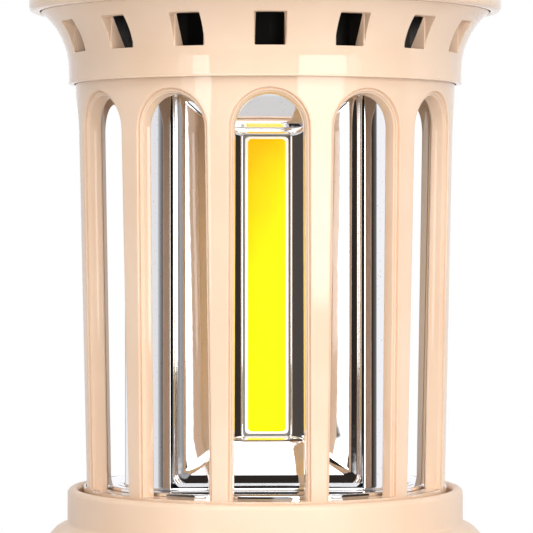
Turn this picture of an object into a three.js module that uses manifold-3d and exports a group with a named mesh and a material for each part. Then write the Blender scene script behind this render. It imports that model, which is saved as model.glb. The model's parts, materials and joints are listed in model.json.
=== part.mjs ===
// A portable electric bug zapper with a lamp. A round base holds the cells and the circuits. A cage of
// twelve arched openings stands in the base's collar round a three-sided chrome reflector with three
// light strips. A flared crown with sixteen square vents carries the zapping chamber, closed by a
// lift-off lid, and a folding handle turns in the rim ring.
//
// Units are millimetres. +Z is up, the front is -Y, and the origin is on the ground under the middle.
import * as THREE from "three";
import { mergeVertices } from "three/addons/utils/BufferGeometryUtils.js";
import Module from "manifold-3d";

const wasm = await Module();
wasm.setup();

// ---- Driving dimensions ----
const GAP = 0.3; // clearance between neighbouring pieces
const FINE = 36; // sides of a large round piece
const COARSE = 12; // sides of a small one

const foot = { radius: 5, drop: 1.2, height: 2.2, circle: 37 };
const cover = { radius: 48.9, top: 4.4 };
const base = { bandRadius: 51.8, bandTop: 8.2, wallRadius: 49.5, innerRadius: 47.2, shoulder: 24 };
const deck = { bottom: 27.2, top: 30, wireHole: 6 };
const collar = { radius: 43.45, innerRadius: 41, bottom: 29.75, top: 39, edge: 1.2 };
const cage = {
  bottom: deck.top + GAP,
  ringTop: 39.4,
  bottomRadius: 39.9,
  topRadius: 41.6,
  taperTop: 127,
  top: 130.9,
  depth: 4,
  openings: 12,
  archHeight: 116.7,
  archHalfWidth: 7.4,
  footHalfWidth: 7.7,
  frameWidth: 0.95,
  frameDepth: 1.6,
  ceiling: 128.5,
};
const reflector = {
  bottom: 38.9,
  top: 128.4,
  inradius: 23.4,
  flatHalfWidth: 20.8,
  edgeHalfWidth: 22.8,
  roundRadius: 31.8,
  discRadius: 35.4,
  discTop: 40.2,
  shell: 2.4,
  lobeCentre: 22.5,
  lobeBore: 6.8,
};
const dish = { middle: 83.6, halfWidth: 17.4, halfHeight: 40.3, depthRadius: 20.8, lip: 2.5 };
const strip = { halfWidth: 5.05, halfHeight: 32.5, windowRadius: 15, boardRadius: 13.6, thickness: 0.9 };
const spine = { inradius: 13.3, cornerRadius: 3, wall: 1.8, bottom: 40.5, top: 127 };
const crown = {
  bottom: 127.3,
  skirtRadius: 43.1,
  innerRadius: cage.topRadius + GAP,
  flareRadius: 16.3,
  flareStart: 130.3,
  flareEnd: 142.8,
  lipTop: 146.4,
  lipRadius: 49.1,
  ledgeTop: 133,
  ledgeInner: 34.4,
  vents: 16,
  ventWidth: 6.6,
  ventBottom: 133.7,
  ventTop: 140.3,
};
const chamber = { radius: 39.6, bottom: 128.8, top: 130.9, hubRadius: 9, hubTop: 134.2, wireHole: 2.5 };
const grid = {
  radius: 20,
  rods: 12,
  rodRadius: 0.55,
  ringHeight: 1.2,
  reach: 18.5,
  frameInner: 17.5,
  frameOuter: 23.6,
  postCircle: 22.2,
};
const rim = { radius: 51.8, bottom: 143, top: 152.2, seat: 150.3, seatInner: 43.6, lidHole: 46 };
const pivot = { height: 151, earRadius: 4.6, earInner: 47.6, earOuter: 52.6, pinRadius: 1.6 };
const bail = {
  halfSpan: 54.5,
  straight: 20,
  rise: 57,
  gripHalf: 18,
  thickness: 3.2,
  width: 8,
  gripRadius: 4.3,
};
const lid = {
  radius: 45.7,
  flange: 151.8,
  skirtBottom: 147.6,
  skirtOuter: 43.2,
  skirtInner: 41.7,
  top: 168.5,
};
const knob = { bottom: 168.8, neckRadius: 4.6, radius: 9, top: 177.4 };
const cell = { radius: 9.2, halfLength: 32.5, height: 15, nearY: -9.2, farY: 10.2 };
const button = { offset: 10, height: 16.5, radius: 4.5, flangeRadius: 5.5, face: -50, back: -42.6 };
const port = { height: 14.6, halfWidth: 5, halfHeight: 2.2, floor: 47.9, pocketHalf: 7.5 };
const screwHead = { radius: 2.3, height: 1.5 };
const shankRadius = 1.3;
const pilotRadius = shankRadius + GAP;

// ---- Looks ----
function finish(color, roughness, metalness) {
  return new THREE.MeshStandardMaterial({ color, roughness, metalness });
}
const beige = finish(0xe8cba8, 0.35, 0);
const chrome = finish(0xe8e8ec, 0.05, 1);
const aluminium = finish(0xb9bcc0, 0.4, 1);
const steel = finish(0xa9abad, 0.35, 1);
const blackPlastic = finish(0x141414, 0.5, 0);
const rubber = finish(0x2a2826, 0.85, 0);
const phosphor = finish(0xffee00, 0.5, 0);
const whiteBoard = finish(0xf4efe8, 0.5, 0);
const greenBoard = finish(0x1d6b3a, 0.5, 0);
const epoxy = finish(0x1c2430, 0.4, 0);
const cellWrap = finish(0x2f6fb0, 0.4, 0);
const violetLens = finish(0x8f7be0, 0.15, 0);
const clearLens = finish(0xdfe8f0, 0.15, 0);

// ---- Solids from geometries ----
function asSolid(geometry) {
  const bare = geometry.index ? geometry.toNonIndexed() : geometry.clone();
  bare.deleteAttribute("normal");
  bare.deleteAttribute("uv");
  const merged = mergeVertices(bare, 1e-4);
  const vertProperties = merged.attributes.position.array;
  const triVerts = new Uint32Array(merged.index.array);
  const solid = new wasm.Manifold(new wasm.Mesh({ numProp: 3, vertProperties, triVerts }));
  if (solid.volume() > 0) return solid;
  return new wasm.Manifold(new wasm.Mesh({ numProp: 3, vertProperties, triVerts: triVerts.reverse() }));
}

function asGeometry(solid) {
  const mesh = solid.getMesh();
  const geometry = new THREE.BufferGeometry();
  geometry.setAttribute("position", new THREE.BufferAttribute(mesh.vertProperties, mesh.numProp));
  geometry.setIndex(new THREE.BufferAttribute(mesh.triVerts, 1));
  return geometry;
}

const join = (...pieces) => asGeometry(pieces.map(asSolid).reduce((all, next) => all.add(next)));
const cut = (body, ...tools) =>
  asGeometry(tools.map(asSolid).reduce((left, tool) => left.subtract(tool), asSolid(body)));

// ---- Simple forms ----
const radians = THREE.MathUtils.degToRad;

// A profile of [radius, height] points turned about Z. A closed profile gives a ring.
function revolve(profile, sides = FINE, closed = true) {
  const points = profile.map(([r, z]) => new THREE.Vector2(r, z));
  if (closed) points.push(points[0].clone());
  return new THREE.LatheGeometry(points, sides).rotateX(Math.PI / 2);
}

// Points of an arc in a profile, angles in degrees anticlockwise from the outward direction.
function arc(r, z, radius, from, to, steps) {
  return Array.from({ length: steps + 1 }, (_, i) => {
    const angle = radians(from + ((to - from) * i) / steps);
    return [r + radius * Math.cos(angle), z + radius * Math.sin(angle)];
  });
}

function rod(radius, bottom, top, sides = COARSE) {
  const geometry = new THREE.CylinderGeometry(radius, radius, top - bottom, sides);
  return geometry.rotateX(Math.PI / 2).translate(0, 0, (bottom + top) / 2);
}

// The same rod lying along X or along Y, through the middle of the other two axes.
function rodAlongX(radius, left, right, sides = COARSE) {
  return rod(radius, left, right, sides).rotateY(Math.PI / 2);
}

function rodAlongY(radius, near, far, sides = COARSE) {
  return rod(radius, -far, -near, sides).rotateX(Math.PI / 2);
}

function block([x0, x1], [y0, y1], [z0, z1]) {
  const geometry = new THREE.BoxGeometry(x1 - x0, y1 - y0, z1 - z0);
  return geometry.translate((x0 + x1) / 2, (y0 + y1) / 2, (z0 + z1) / 2);
}

// A shape drawn on X and Z, swept along Y from near to far.
function sweepY(shape, near, far, curveSegments = 4) {
  const options = { depth: far - near, bevelEnabled: false, curveSegments };
  return new THREE.ExtrudeGeometry(shape, options).rotateX(Math.PI / 2).translate(0, far, 0);
}

function polar(radius, degrees) {
  return [radius * Math.cos(radians(degrees)), radius * Math.sin(radians(degrees))];
}

const around = (count, make) => Array.from({ length: count }, (_, i) => make(i));

function rodAt(radius, bottom, top, [x, y], sides = COARSE) {
  return rod(radius, bottom, top, sides).translate(x, y, 0);
}

// ---- Fasteners ----
// A pan-head screw, head up, with the underside of its head at the origin.
function screwGeometry(length) {
  const head = rod(screwHead.radius, 0, screwHead.height);
  const shank = rod(shankRadius, -length, 0.2, 8);
  const slot = block([-3, 3], [-0.3, 0.3], [screwHead.height - 0.7, screwHead.height + 1]);
  return cut(join(head, shank), slot);
}

function addPiece(group, name, geometry, material) {
  const mesh = new THREE.Mesh(geometry, material);
  mesh.name = name;
  group.add(mesh);
  return mesh;
}

// ---- Base: feet, bottom cover and housing ----
const coverScrewCircle = 42.4;
const coverScrewPlaces = around(4, (i) => polar(coverScrewCircle, 45 + 90 * i));
const footPlaces = around(4, (i) => polar(foot.circle, 90 * i));
const cageScrewCircle = 36.2;
const cageScrewPlaces = around(3, (i) => polar(cageScrewCircle, 30 + 120 * i));
const coverCounterbore = 3;

function bottomCover() {
  const plate = rod(cover.radius, foot.drop, cover.top, FINE);
  const footSeats = footPlaces.map((p) => rodAt(foot.radius + GAP, 0, foot.height + GAP, p));
  const headSeats = coverScrewPlaces.map((p) => rodAt(screwHead.radius + GAP, 0, coverCounterbore, p));
  const holes = coverScrewPlaces.map((p) => rodAt(pilotRadius, 0, cover.top + 1, p));
  return cut(plate, ...footSeats, ...headSeats, ...holes);
}

function baseHousing() {
  const { bandRadius, bandTop, wallRadius, innerRadius, shoulder } = base;
  const ledge = cover.top + GAP;
  const rounding = wallRadius - collar.radius;
  const shell = revolve([
    [bandRadius - 0.8, foot.drop],
    [bandRadius, foot.drop + 0.8],
    [bandRadius, bandTop - 1.2],
    [bandRadius - 0.8, bandTop - 0.4],
    [wallRadius, bandTop],
    ...arc(collar.radius, shoulder, rounding, 0, 90, 5).map(([r, z]) => [r, Math.min(z, collar.bottom)]),
    [collar.radius, collar.top - collar.edge],
    ...arc(collar.radius - collar.edge, collar.top - collar.edge, collar.edge, 30, 150, 4),
    [collar.innerRadius, collar.top - collar.edge],
    [collar.innerRadius, deck.top],
    [deck.wireHole, deck.top],
    [deck.wireHole, deck.bottom],
    [innerRadius - 3.5, deck.bottom],
    [innerRadius, deck.bottom - 4],
    [innerRadius, ledge],
    [cover.radius + GAP, ledge],
    [cover.radius + GAP, foot.drop],
  ]);
  const bosses = coverScrewPlaces.map((p) => rodAt(3.6, ledge, deck.bottom + 1, p));
  const boardPosts = [-18, 18].map((x) => rodAt(1.8, 13.3, deck.bottom + 1, [x, 37.5], 8));
  const switchPosts = [-14, 14].map((x) => rodAt(1.5, 8.5, deck.bottom + 1, [x, -34.1], 8));
  const portBlock = block([-9, 9], [44.6, 48.4], [9, 20]);
  const pilots = coverScrewPlaces.map((p) => rodAt(pilotRadius, 0, 14.5, p));
  const cageHoles = cageScrewPlaces.map((p) => rodAt(pilotRadius, deck.bottom - 1, deck.top + 1, p));
  const buttonHoles = [-1, 1].map((side) =>
    rodAlongY(button.radius + GAP, -55, -44, 18).translate(side * button.offset, 0, button.height),
  );
  const windowSlot = block([-4.3, 4.3], [-55, -44], [15, 18]);
  const portSlot = block(
    [-port.halfWidth, port.halfWidth],
    [40, 55],
    [port.height - port.halfHeight, port.height + port.halfHeight],
  );
  const pocket = block([-port.pocketHalf, port.pocketHalf], [port.floor, 55], [10.2, 19.2]);
  return cut(
    join(shell, ...bosses, ...boardPosts, ...switchPosts, portBlock),
    ...pilots,
    ...cageHoles,
    ...buttonHoles,
    windowSlot,
    portSlot,
    pocket,
  );
}

// ---- Base: what it holds ----
function batteryTray() {
  const body = block([-34.6, 34.6], [-19.8, 20.8], [cover.top + GAP, 11]);
  const seatHalf = cell.halfLength + GAP;
  const seats = [cell.nearY, cell.farY].map((y) =>
    rodAlongX(cell.radius + GAP, -seatHalf, seatHalf, 24).translate(0, y, cell.height),
  );
  return cut(body, ...seats);
}

function batteryCell() {
  const can = rodAlongX(cell.radius, -cell.halfLength, cell.halfLength - 0.9, 24);
  const cap = rodAlongX(2.8, cell.halfLength - 1.5, cell.halfLength);
  return join(can, cap);
}

function usbSocket() {
  const shell = block([-4.5, 4.5], [37, 46.6], [13.3, 16.5]);
  const mouth = block([-3.9, 3.9], [40, 48], [13.8, 16]);
  const tongue = block([-3.2, 3.2], [39, 45.6], [14.6, 15.2]);
  return join(cut(shell, mouth), tongue);
}

// A silicone flap over the charging port, with a plug that reaches into the slot and a finger tab.
function portCover() {
  const plate = block([-7.1, 7.1], [port.floor + GAP, 49.7], [10.7, 18.9]);
  const plug = block([-3.4, 3.4], [46.9, port.floor + 0.5], [port.height - 1.2, port.height + 1.2]);
  const tab = block([-2.5, 2.5], [49.4, 50.6], [17.2, 18.6]);
  return join(plate, plug, tab);
}

function pushButton() {
  const stem = rodAlongY(button.radius, button.face, -43.4, 18);
  const flange = rodAlongY(button.flangeRadius, -44.2, -43.2, 18);
  const pusher = rodAlongY(1.8, -43.4, button.back, 8);
  return join(stem, flange, pusher);
}

function tactSwitch() {
  const body = block([-3, 3], [-41, -37.9], [-3, 3]);
  const plunger = rodAlongY(1.6, -41.6, -40.8, 12);
  return join(body, plunger);
}

function mainBoard() {
  const plate = block([-20.5, 20.5], [22, 41.6], [11.4, 13]);
  const coil = rodAt(3.4, 12.8, 18, [14, 31]);
  const capacitors = [-9.5, 11.5].map((x) => rodAt(2.2, 12.8, 21, [x, 38], 10));
  const chip = block([7, 12], [22.6, 27], [12.8, 14.4]);
  return join(plate, coil, chip, ...capacitors);
}

// The bundle of wires from the main board up through the light spine to the chamber.
function wireLoom() {
  const path = new THREE.CatmullRomCurve3(
    [
      [6, 31, 13.4],
      [6, 31, 21],
      [5.4, 27, 25],
      [3.5, 17, 25.7],
      [1, 5, 25.9],
      [0, 0.6, 28],
      [0, 0, 33],
      [0, 0, 60],
      [0, 0, 100],
      [0, 0, chamber.hubTop],
    ].map((p) => new THREE.Vector3(...p)),
    false,
    "centripetal",
  );
  const section = new THREE.Shape().absarc(0, 0, 1.1, 0, 2 * Math.PI);
  return new THREE.ExtrudeGeometry(section, { steps: 24, extrudePath: path, curveSegments: 3 });
}

// ---- Cage ----
const cageSlope = (cage.topRadius - cage.bottomRadius) / (cage.taperTop - cage.ringTop);
const headScrewCircle = 37.2;
const headScrewPlaces = around(4, (i) => polar(headScrewCircle, 45 + 90 * i));

// A tall opening with a half-round head, grown outwards by a margin all round its sides and head.
function archShape(margin) {
  const shape = new THREE.Shape();
  shape.moveTo(-cage.footHalfWidth - margin, cage.ringTop);
  shape.lineTo(cage.footHalfWidth + margin, cage.ringTop);
  shape.lineTo(cage.archHalfWidth + margin, cage.archHeight);
  shape.absarc(0, cage.archHeight, cage.archHalfWidth + margin, 0, Math.PI);
  return shape;
}

function cageBody() {
  const { bottom, ringTop, bottomRadius, topRadius, taperTop, top, depth, ceiling } = cage;
  const seatTop = reflector.bottom - GAP;
  const seatInner = reflector.discRadius;
  const shell = revolve([
    [bottomRadius, bottom],
    [bottomRadius, ringTop],
    [topRadius, taperTop],
    [topRadius, top],
    [chamber.radius + GAP, top],
    [chamber.radius + GAP, ceiling],
    [seatInner, ceiling],
    [seatInner, ceiling - 1.9],
    [topRadius - depth, ceiling - 3.5],
    [bottomRadius - depth, ringTop],
    [reflector.discRadius + GAP, ringTop],
    [reflector.discRadius + GAP, seatTop],
    [32.6, seatTop],
    [32.6, bottom],
  ]);
  const step = cage.frameDepth;
  const core = revolve(
    [
      [0, ringTop - 2],
      [bottomRadius - step - 2 * cageSlope, ringTop - 2],
      [topRadius - step + 2 * cageSlope, taperTop + 2],
      [0, taperTop + 2],
    ],
    FINE,
    false,
  );
  const opening = sweepY(archShape(0), -48, -30);
  const frame = cut(sweepY(archShape(cage.frameWidth), -48, -30), core);
  const pitch = 360 / cage.openings;
  const openings = around(cage.openings, (i) =>
    [opening, frame].map((g) => g.clone().rotateZ(radians(pitch * i))),
  );
  const bosses = headScrewPlaces.map((p) => rodAt(2.6, ceiling - 4, ceiling, p, 12));
  const headPilots = headScrewPlaces.map((p) => rodAt(pilotRadius, ceiling - 3.7, ceiling + 1, p, 12));
  const footPilots = cageScrewPlaces.map((p) => rodAt(pilotRadius, bottom - 1, bottom + 6.4, p, 12));
  return cut(join(shell, ...bosses), ...openings.flat(), ...headPilots, ...footPilots);
}

// ---- Lamp ----
// A triangle with round corners; one flat side faces -Y.
function roundedTriangle(inradius, cornerRadius) {
  const reach = 2 * (inradius - cornerRadius);
  const shape = new THREE.Shape();
  for (const direction of [-30, 90, 210]) {
    const [x, y] = polar(reach, direction);
    shape.absarc(x, y, cornerRadius, radians(direction - 60), radians(direction + 60));
  }
  return shape;
}

function prism(shape, bottom, top, curveSegments = 4) {
  const options = { depth: top - bottom, bevelEnabled: false, curveSegments };
  return new THREE.ExtrudeGeometry(shape, options).translate(0, 0, bottom);
}

// A four-sided funnel facing -Y, from a small rectangle near the axis to a large one further out.
function hopper(small, large) {
  const corners = [small, large].flatMap(({ radius, halfWidth, halfHeight }) =>
    [
      [-1, -1],
      [1, -1],
      [1, 1],
      [-1, 1],
    ].map(([x, z]) => [x * halfWidth, -radius, dish.middle + z * halfHeight]),
  );
  const quads = [
    [0, 3, 2, 1],
    [4, 5, 6, 7],
    [0, 1, 5, 4],
    [1, 2, 6, 5],
    [2, 3, 7, 6],
    [3, 0, 4, 7],
  ];
  const geometry = new THREE.BufferGeometry();
  geometry.setAttribute("position", new THREE.BufferAttribute(new Float32Array(corners.flat()), 3));
  geometry.setIndex(quads.flatMap(([a, b, c, d]) => [a, b, c, a, c, d]));
  return geometry;
}

// The reflector's plan: a circle with three flat sides, each with a bevel at both ends.
function reflectorPlan() {
  const { inradius, flatHalfWidth, edgeHalfWidth, roundRadius } = reflector;
  const edgeAngle = (Math.asin(edgeHalfWidth / roundRadius) * 180) / Math.PI;
  const side = [
    new THREE.Vector2(-flatHalfWidth, -inradius),
    new THREE.Vector2(flatHalfWidth, -inradius),
    ...arc(0, 0, roundRadius, edgeAngle - 90, 30 - edgeAngle, 4).map(([x, y]) => new THREE.Vector2(x, y)),
  ];
  const axis = new THREE.Vector2();
  const turned = (angle) => side.map((point) => point.clone().rotateAround(axis, radians(angle)));
  return new THREE.Shape([0, 120, 240].flatMap(turned));
}

function reflectorBody() {
  const { bottom, top, inradius, discRadius, discTop, shell, lobeCentre, lobeBore } = reflector;
  const body = prism(reflectorPlan(), bottom, top);
  const disc = rod(discRadius, bottom, discTop, FINE);
  const bore = prism(roundedTriangle(spine.inradius + GAP, spine.cornerRadius), bottom - 1, top + 1, 3);
  const lobes = around(3, (i) =>
    rodAt(lobeBore, bottom - 1, top - shell, polar(lobeCentre, 90 + 120 * i)),
  );
  const rectangle = (radius, { halfWidth, halfHeight }, margin = 0) => ({
    radius,
    halfWidth: halfWidth + margin,
    halfHeight: halfHeight + margin,
  });
  const window = rectangle(strip.windowRadius, strip);
  const through = rectangle(strip.boardRadius - 1, strip);
  const edge = rectangle(dish.depthRadius, dish);
  const step = rectangle(dish.depthRadius, dish, dish.lip * 0.7);
  const mouth = rectangle(inradius + 1, dish, dish.lip);
  const faces = [hopper(through, window), hopper(window, edge), hopper(step, mouth)];
  const dishes = around(3, (i) => faces.map((g) => g.clone().rotateZ(radians(120 * i))));
  return cut(join(body, disc), bore, ...lobes, ...dishes.flat());
}

function lightSpine() {
  const { inradius, cornerRadius, wall, bottom, top } = spine;
  const body = prism(roundedTriangle(inradius, cornerRadius), bottom, top, 3);
  return cut(body, prism(roundedTriangle(inradius - wall, cornerRadius - wall), bottom - 1, top + 1, 3));
}

function stripBoard() {
  const { halfWidth, halfHeight, boardRadius, thickness } = strip;
  return block(
    [-halfWidth + GAP, halfWidth - GAP],
    [-boardRadius - thickness, -boardRadius],
    [dish.middle - halfHeight + GAP, dish.middle + halfHeight - GAP],
  );
}

// The phosphor pad of a light strip, a low bar with rounded corners.
function stripPhosphor() {
  const [x, z, r] = [4.1, 31.6, 1];
  const shape = new THREE.Shape();
  shape.absarc(x - r, dish.middle - z + r, r, -Math.PI / 2, 0);
  shape.absarc(x - r, dish.middle + z - r, r, 0, Math.PI / 2);
  shape.absarc(-x + r, dish.middle + z - r, r, Math.PI / 2, Math.PI);
  shape.absarc(-x + r, dish.middle - z + r, r, Math.PI, 1.5 * Math.PI);
  const back = strip.boardRadius + strip.thickness + 0.1;
  return sweepY(shape, -back - 0.5, -back, 3);
}

// ---- Crown and zapping chamber ----
function crownBody() {
  const { bottom, skirtRadius, innerRadius, flareRadius, flareStart, flareEnd } = crown;
  const centre = skirtRadius + flareRadius;
  const sweep = (Math.asin((flareEnd - flareStart) / flareRadius) * 180) / Math.PI;
  const shell = revolve([
    [innerRadius, bottom],
    [skirtRadius - 0.2, bottom],
    [skirtRadius, bottom + 1],
    ...arc(centre, flareStart, flareRadius, 180, 180 - sweep, 4),
    [crown.lipRadius, flareEnd + 0.1],
    [crown.lipRadius, crown.lipTop],
    [46.6, crown.lipTop],
    [45.6, 143.5],
    [43.6, crown.ventTop],
    [41.4, 136.8],
    [40, crown.ledgeTop + 0.6],
    [40, crown.ledgeTop],
    [crown.ledgeInner, crown.ledgeTop],
    [crown.ledgeInner, cage.top + GAP],
    [innerRadius, cage.top + GAP],
  ]);
  const half = crown.ventWidth / 2;
  const vent = block([-half, half], [-56, -36], [crown.ventBottom, crown.ventTop]);
  const vents = around(crown.vents, (i) => vent.clone().rotateZ(radians((360 / crown.vents) * i)));
  const holes = headScrewPlaces.map((p) => rodAt(pilotRadius, cage.top, crown.ledgeTop + 1, p, 12));
  return cut(shell, ...vents, ...holes);
}

function chamberBase() {
  const disc = rod(chamber.radius, chamber.bottom, chamber.top, FINE);
  const hub = rod(chamber.hubRadius, chamber.top - 1, chamber.hubTop, 24);
  const holes = headScrewPlaces.map((p) => rodAt(pilotRadius, chamber.bottom - 1, chamber.top + 1, p, 12));
  return cut(join(disc, hub), rod(chamber.wireHole, chamber.bottom - 1, chamber.hubTop + 1), ...holes);
}

const trayTop = 135.2;
const trayBottom = cage.top + GAP;
const tray = { inner: 24.2, outer: 34, wall: 1, baffleTop: 142 };

function insectTray() {
  const floor = trayBottom + 1.1;
  return revolve(
    [
      [tray.inner, trayBottom],
      [tray.outer, trayBottom],
      [tray.outer, tray.baffleTop],
      [tray.outer - tray.wall, tray.baffleTop],
      [tray.outer - tray.wall, floor],
      [tray.inner + tray.wall, floor],
      [tray.inner + tray.wall, trayTop],
      [tray.inner, trayTop],
    ],
    24,
  );
}

const insulator = { bottom: trayBottom, top: 134.6 };
const comb = { lowerRing: insulator.top + GAP, upperRing: 155.5 };
const upperInsulator = { bottom: 157, top: 159.6 };

function flatRing(inner, outer, bottom, top, sides = FINE) {
  return revolve(
    [
      [inner, bottom],
      [outer, bottom],
      [outer, top],
      [inner, top],
    ],
    sides,
  );
}

function gridFrame() {
  const ring = flatRing(grid.frameInner, grid.frameOuter, insulator.bottom, insulator.top, 24);
  const posts = around(4, (i) =>
    rodAt(1.2, insulator.top - 1, upperInsulator.bottom - GAP, polar(grid.postCircle, 90 * i), 10),
  );
  return join(ring, ...posts);
}

// A ring with rods standing on it or hanging from it; the two combs interleave without touching.
function electrodeComb(ringBottom, rodBottom, rodTop, turn) {
  const ringTop = ringBottom + grid.ringHeight;
  const ring = flatRing(grid.radius - 0.6, grid.radius + 0.6, ringBottom, ringTop, 24);
  const rods = around(grid.rods, (i) =>
    rodAt(grid.rodRadius, rodBottom, rodTop, polar(grid.radius, (360 / grid.rods) * i + turn), 6),
  );
  return join(ring, ...rods);
}

function lowerComb() {
  const foot = comb.lowerRing;
  return electrodeComb(foot, foot + 0.6, foot + grid.ringHeight + grid.reach, 90 / grid.rods);
}

function upperComb() {
  const top = comb.upperRing;
  return electrodeComb(top, top - grid.reach, top + 0.6, 270 / grid.rods);
}

const lamp = {
  boardRadius: 12.5,
  boardBottom: chamber.hubTop + GAP,
  boardTop: 136,
  ledCircle: 6.6,
  ledRadius: 2.5,
};

function uvLed() {
  const { ledRadius } = lamp;
  const bottom = lamp.boardTop + GAP;
  const straight = bottom + 3.4;
  const dome = arc(0, straight, ledRadius, 0, 60, 2);
  return revolve([[0, bottom], [ledRadius, bottom], ...dome, [0, straight + ledRadius]], COARSE, false);
}

function uvDiffuser() {
  const bottom = lamp.boardTop + GAP;
  const outer = [[0, bottom], [12, bottom], ...arc(8, 152, 4, 0, 90, 4), [0, 156]];
  const inner = [[0, bottom - 1], [10.9, bottom - 1], ...arc(8, 152, 2.9, 0, 90, 4), [0, 154.9]];
  const dome = revolve(outer, 16, false);
  const hollow = revolve(inner, 16, false);
  return cut(dome, hollow);
}

// ---- Rim ring, handle and lid ----
function rimRing() {
  const { radius, bottom, top, seat, seatInner, lidHole } = rim;
  const ring = revolve([
    [crown.lipRadius + GAP, bottom],
    ...arc(radius - 1.2, bottom + 1.2, 1.2, -90, 0, 3),
    [radius, top - 1.4],
    [radius - 0.5, top - 0.4],
    [radius - 1.8, top],
    [lidHole, top + 0.6],
    [lidHole, seat],
    [seatInner, seat],
    [seatInner, bottom + 4],
    [crown.lipRadius + GAP, bottom + 4],
  ]);
  const ears = [-1, 1].map((side) =>
    rodAlongX(pivot.earRadius, pivot.earInner, pivot.earOuter, 24)
      .rotateZ(side < 0 ? Math.PI : 0)
      .translate(0, 0, pivot.height),
  );
  const hole = rodAlongX(pivot.pinRadius + GAP, -60, 60).translate(0, 0, pivot.height);
  return cut(join(ring, ...ears), hole);
}

// The bail's centre line grown by a margin, drawn on X and Z with the pivots at height zero.
function bailShape() {
  const { halfSpan, straight, rise, gripHalf, thickness } = bail;
  const half = thickness / 2;
  const [rx, rz] = [halfSpan - gripHalf, rise - straight];
  const quarter = Math.PI / 2;
  const shape = new THREE.Shape();
  shape.moveTo(halfSpan + half, 0);
  shape.absellipse(gripHalf, straight, rx + half, rz + half, 0, quarter, false);
  shape.absellipse(-gripHalf, straight, rx + half, rz + half, quarter, 2 * quarter, false);
  shape.lineTo(-halfSpan - half, 0);
  shape.lineTo(-halfSpan + half, 0);
  shape.absellipse(-gripHalf, straight, rx - half, rz - half, 2 * quarter, quarter, true);
  shape.absellipse(gripHalf, straight, rx - half, rz - half, quarter, 0, true);
  shape.lineTo(halfSpan - half, 0);
  return shape;
}

function handleBody() {
  const { halfSpan, rise, gripHalf, thickness, width, gripRadius } = bail;
  const strap = sweepY(bailShape(), -width / 2, width / 2, 5);
  const eyes = [-1, 1].map((side) =>
    rodAlongX(pivot.earRadius, -thickness / 2, thickness / 2, 24).translate(side * halfSpan, 0, 0),
  );
  const grip = rodAlongX(gripRadius, -gripHalf - 4, gripHalf + 4).translate(0, 0, rise);
  const hole = rodAlongX(pivot.pinRadius + GAP, -60, 60);
  return cut(join(strap, ...eyes, grip), hole);
}

// A shoulder screw lying along X, its head outermost, for the right-hand pivot.
function pivotPin() {
  const eyeFace = bail.halfSpan + bail.thickness / 2 + GAP;
  const shank = rodAlongX(pivot.pinRadius, pivot.earInner + 1, eyeFace + 0.2, 12);
  const head = rodAlongX(3.4, eyeFace, eyeFace + 1.7, 20);
  const slot = block([eyeFace + 1.1, eyeFace + 3], [-4, 4], [-0.4, 0.4]);
  return cut(join(shank, head), slot);
}

function lidShell() {
  const { radius, flange, skirtBottom, skirtOuter, skirtInner, top } = lid;
  return revolve([
    [pilotRadius, top],
    [12, 168],
    [26, 165],
    [36, 159.5],
    [44, 155.6],
    [radius, 154],
    [radius, flange],
    [skirtOuter, flange],
    [skirtOuter, skirtBottom],
    [skirtInner, skirtBottom],
    [skirtInner, flange + 0.8],
    [34, 157.6],
    [22, 163.6],
    [pilotRadius, 165.9],
  ].reverse());
}

function lidKnob() {
  const { bottom, neckRadius, radius, top } = knob;
  const body = revolve(
    [
      [0, bottom],
      [6, bottom],
      [neckRadius, 170.6],
      [neckRadius, 171.6],
      [8.4, 173],
      [radius, 174.6],
      [7.6, 176.4],
      [4, 177.2],
      [0, top],
    ],
    18,
    false,
  );
  return cut(body, rod(pilotRadius, bottom - 1, bottom + 5));
}

// ---- Assembly ----
const bugZapper = new THREE.Group();
const section = () => {
  const group = new THREE.Group();
  bugZapper.add(group);
  return group;
};

const baseSection = section();
footPlaces.forEach(([x, y], i) => {
  const pad = addPiece(baseSection, `foot_pad_${i + 1}`, rod(foot.radius, 0, foot.height), rubber);
  pad.position.set(x, y, 0);
});
addPiece(baseSection, "bottom_cover", bottomCover(), beige);
coverScrewPlaces.forEach(([x, y], i) => {
  const screw = addPiece(baseSection, `cover_screw_${i + 1}`, screwGeometry(9.5), steel);
  screw.position.set(x, y, coverCounterbore);
  screw.rotation.x = Math.PI;
});
addPiece(baseSection, "base_housing", baseHousing(), beige);
addPiece(baseSection, "battery_tray", batteryTray(), blackPlastic);
[cell.nearY, cell.farY].forEach((y, i) => {
  const battery = addPiece(baseSection, `battery_cell_${i + 1}`, batteryCell(), cellWrap);
  battery.position.set(0, y, cell.height);
  battery.rotation.z = i * Math.PI;
});
addPiece(baseSection, "main_board", mainBoard(), greenBoard);
addPiece(baseSection, "high_voltage_module", block([-20, -1], [23, 34], [13.3, 25]), epoxy);
addPiece(baseSection, "usb_socket", usbSocket(), steel);
addPiece(baseSection, "port_cover", portCover(), rubber);
addPiece(baseSection, "switch_board", block([-17, 17], [-37.6, -36], [8.5, 24.5]), greenBoard);
["lamp", "zapper"].forEach((name, i) => {
  const x = (i ? 1 : -1) * button.offset;
  addPiece(baseSection, `${name}_button`, pushButton(), blackPlastic).position.set(x, 0, button.height);
  addPiece(baseSection, `${name}_switch`, tactSwitch(), blackPlastic).position.set(x, 0, button.height);
});
addPiece(baseSection, "charge_window", block([-4, 4], [-49.6, -46.8], [15.3, 17.7]), clearLens);
addPiece(baseSection, "wire_loom", wireLoom(), rubber);

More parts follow.
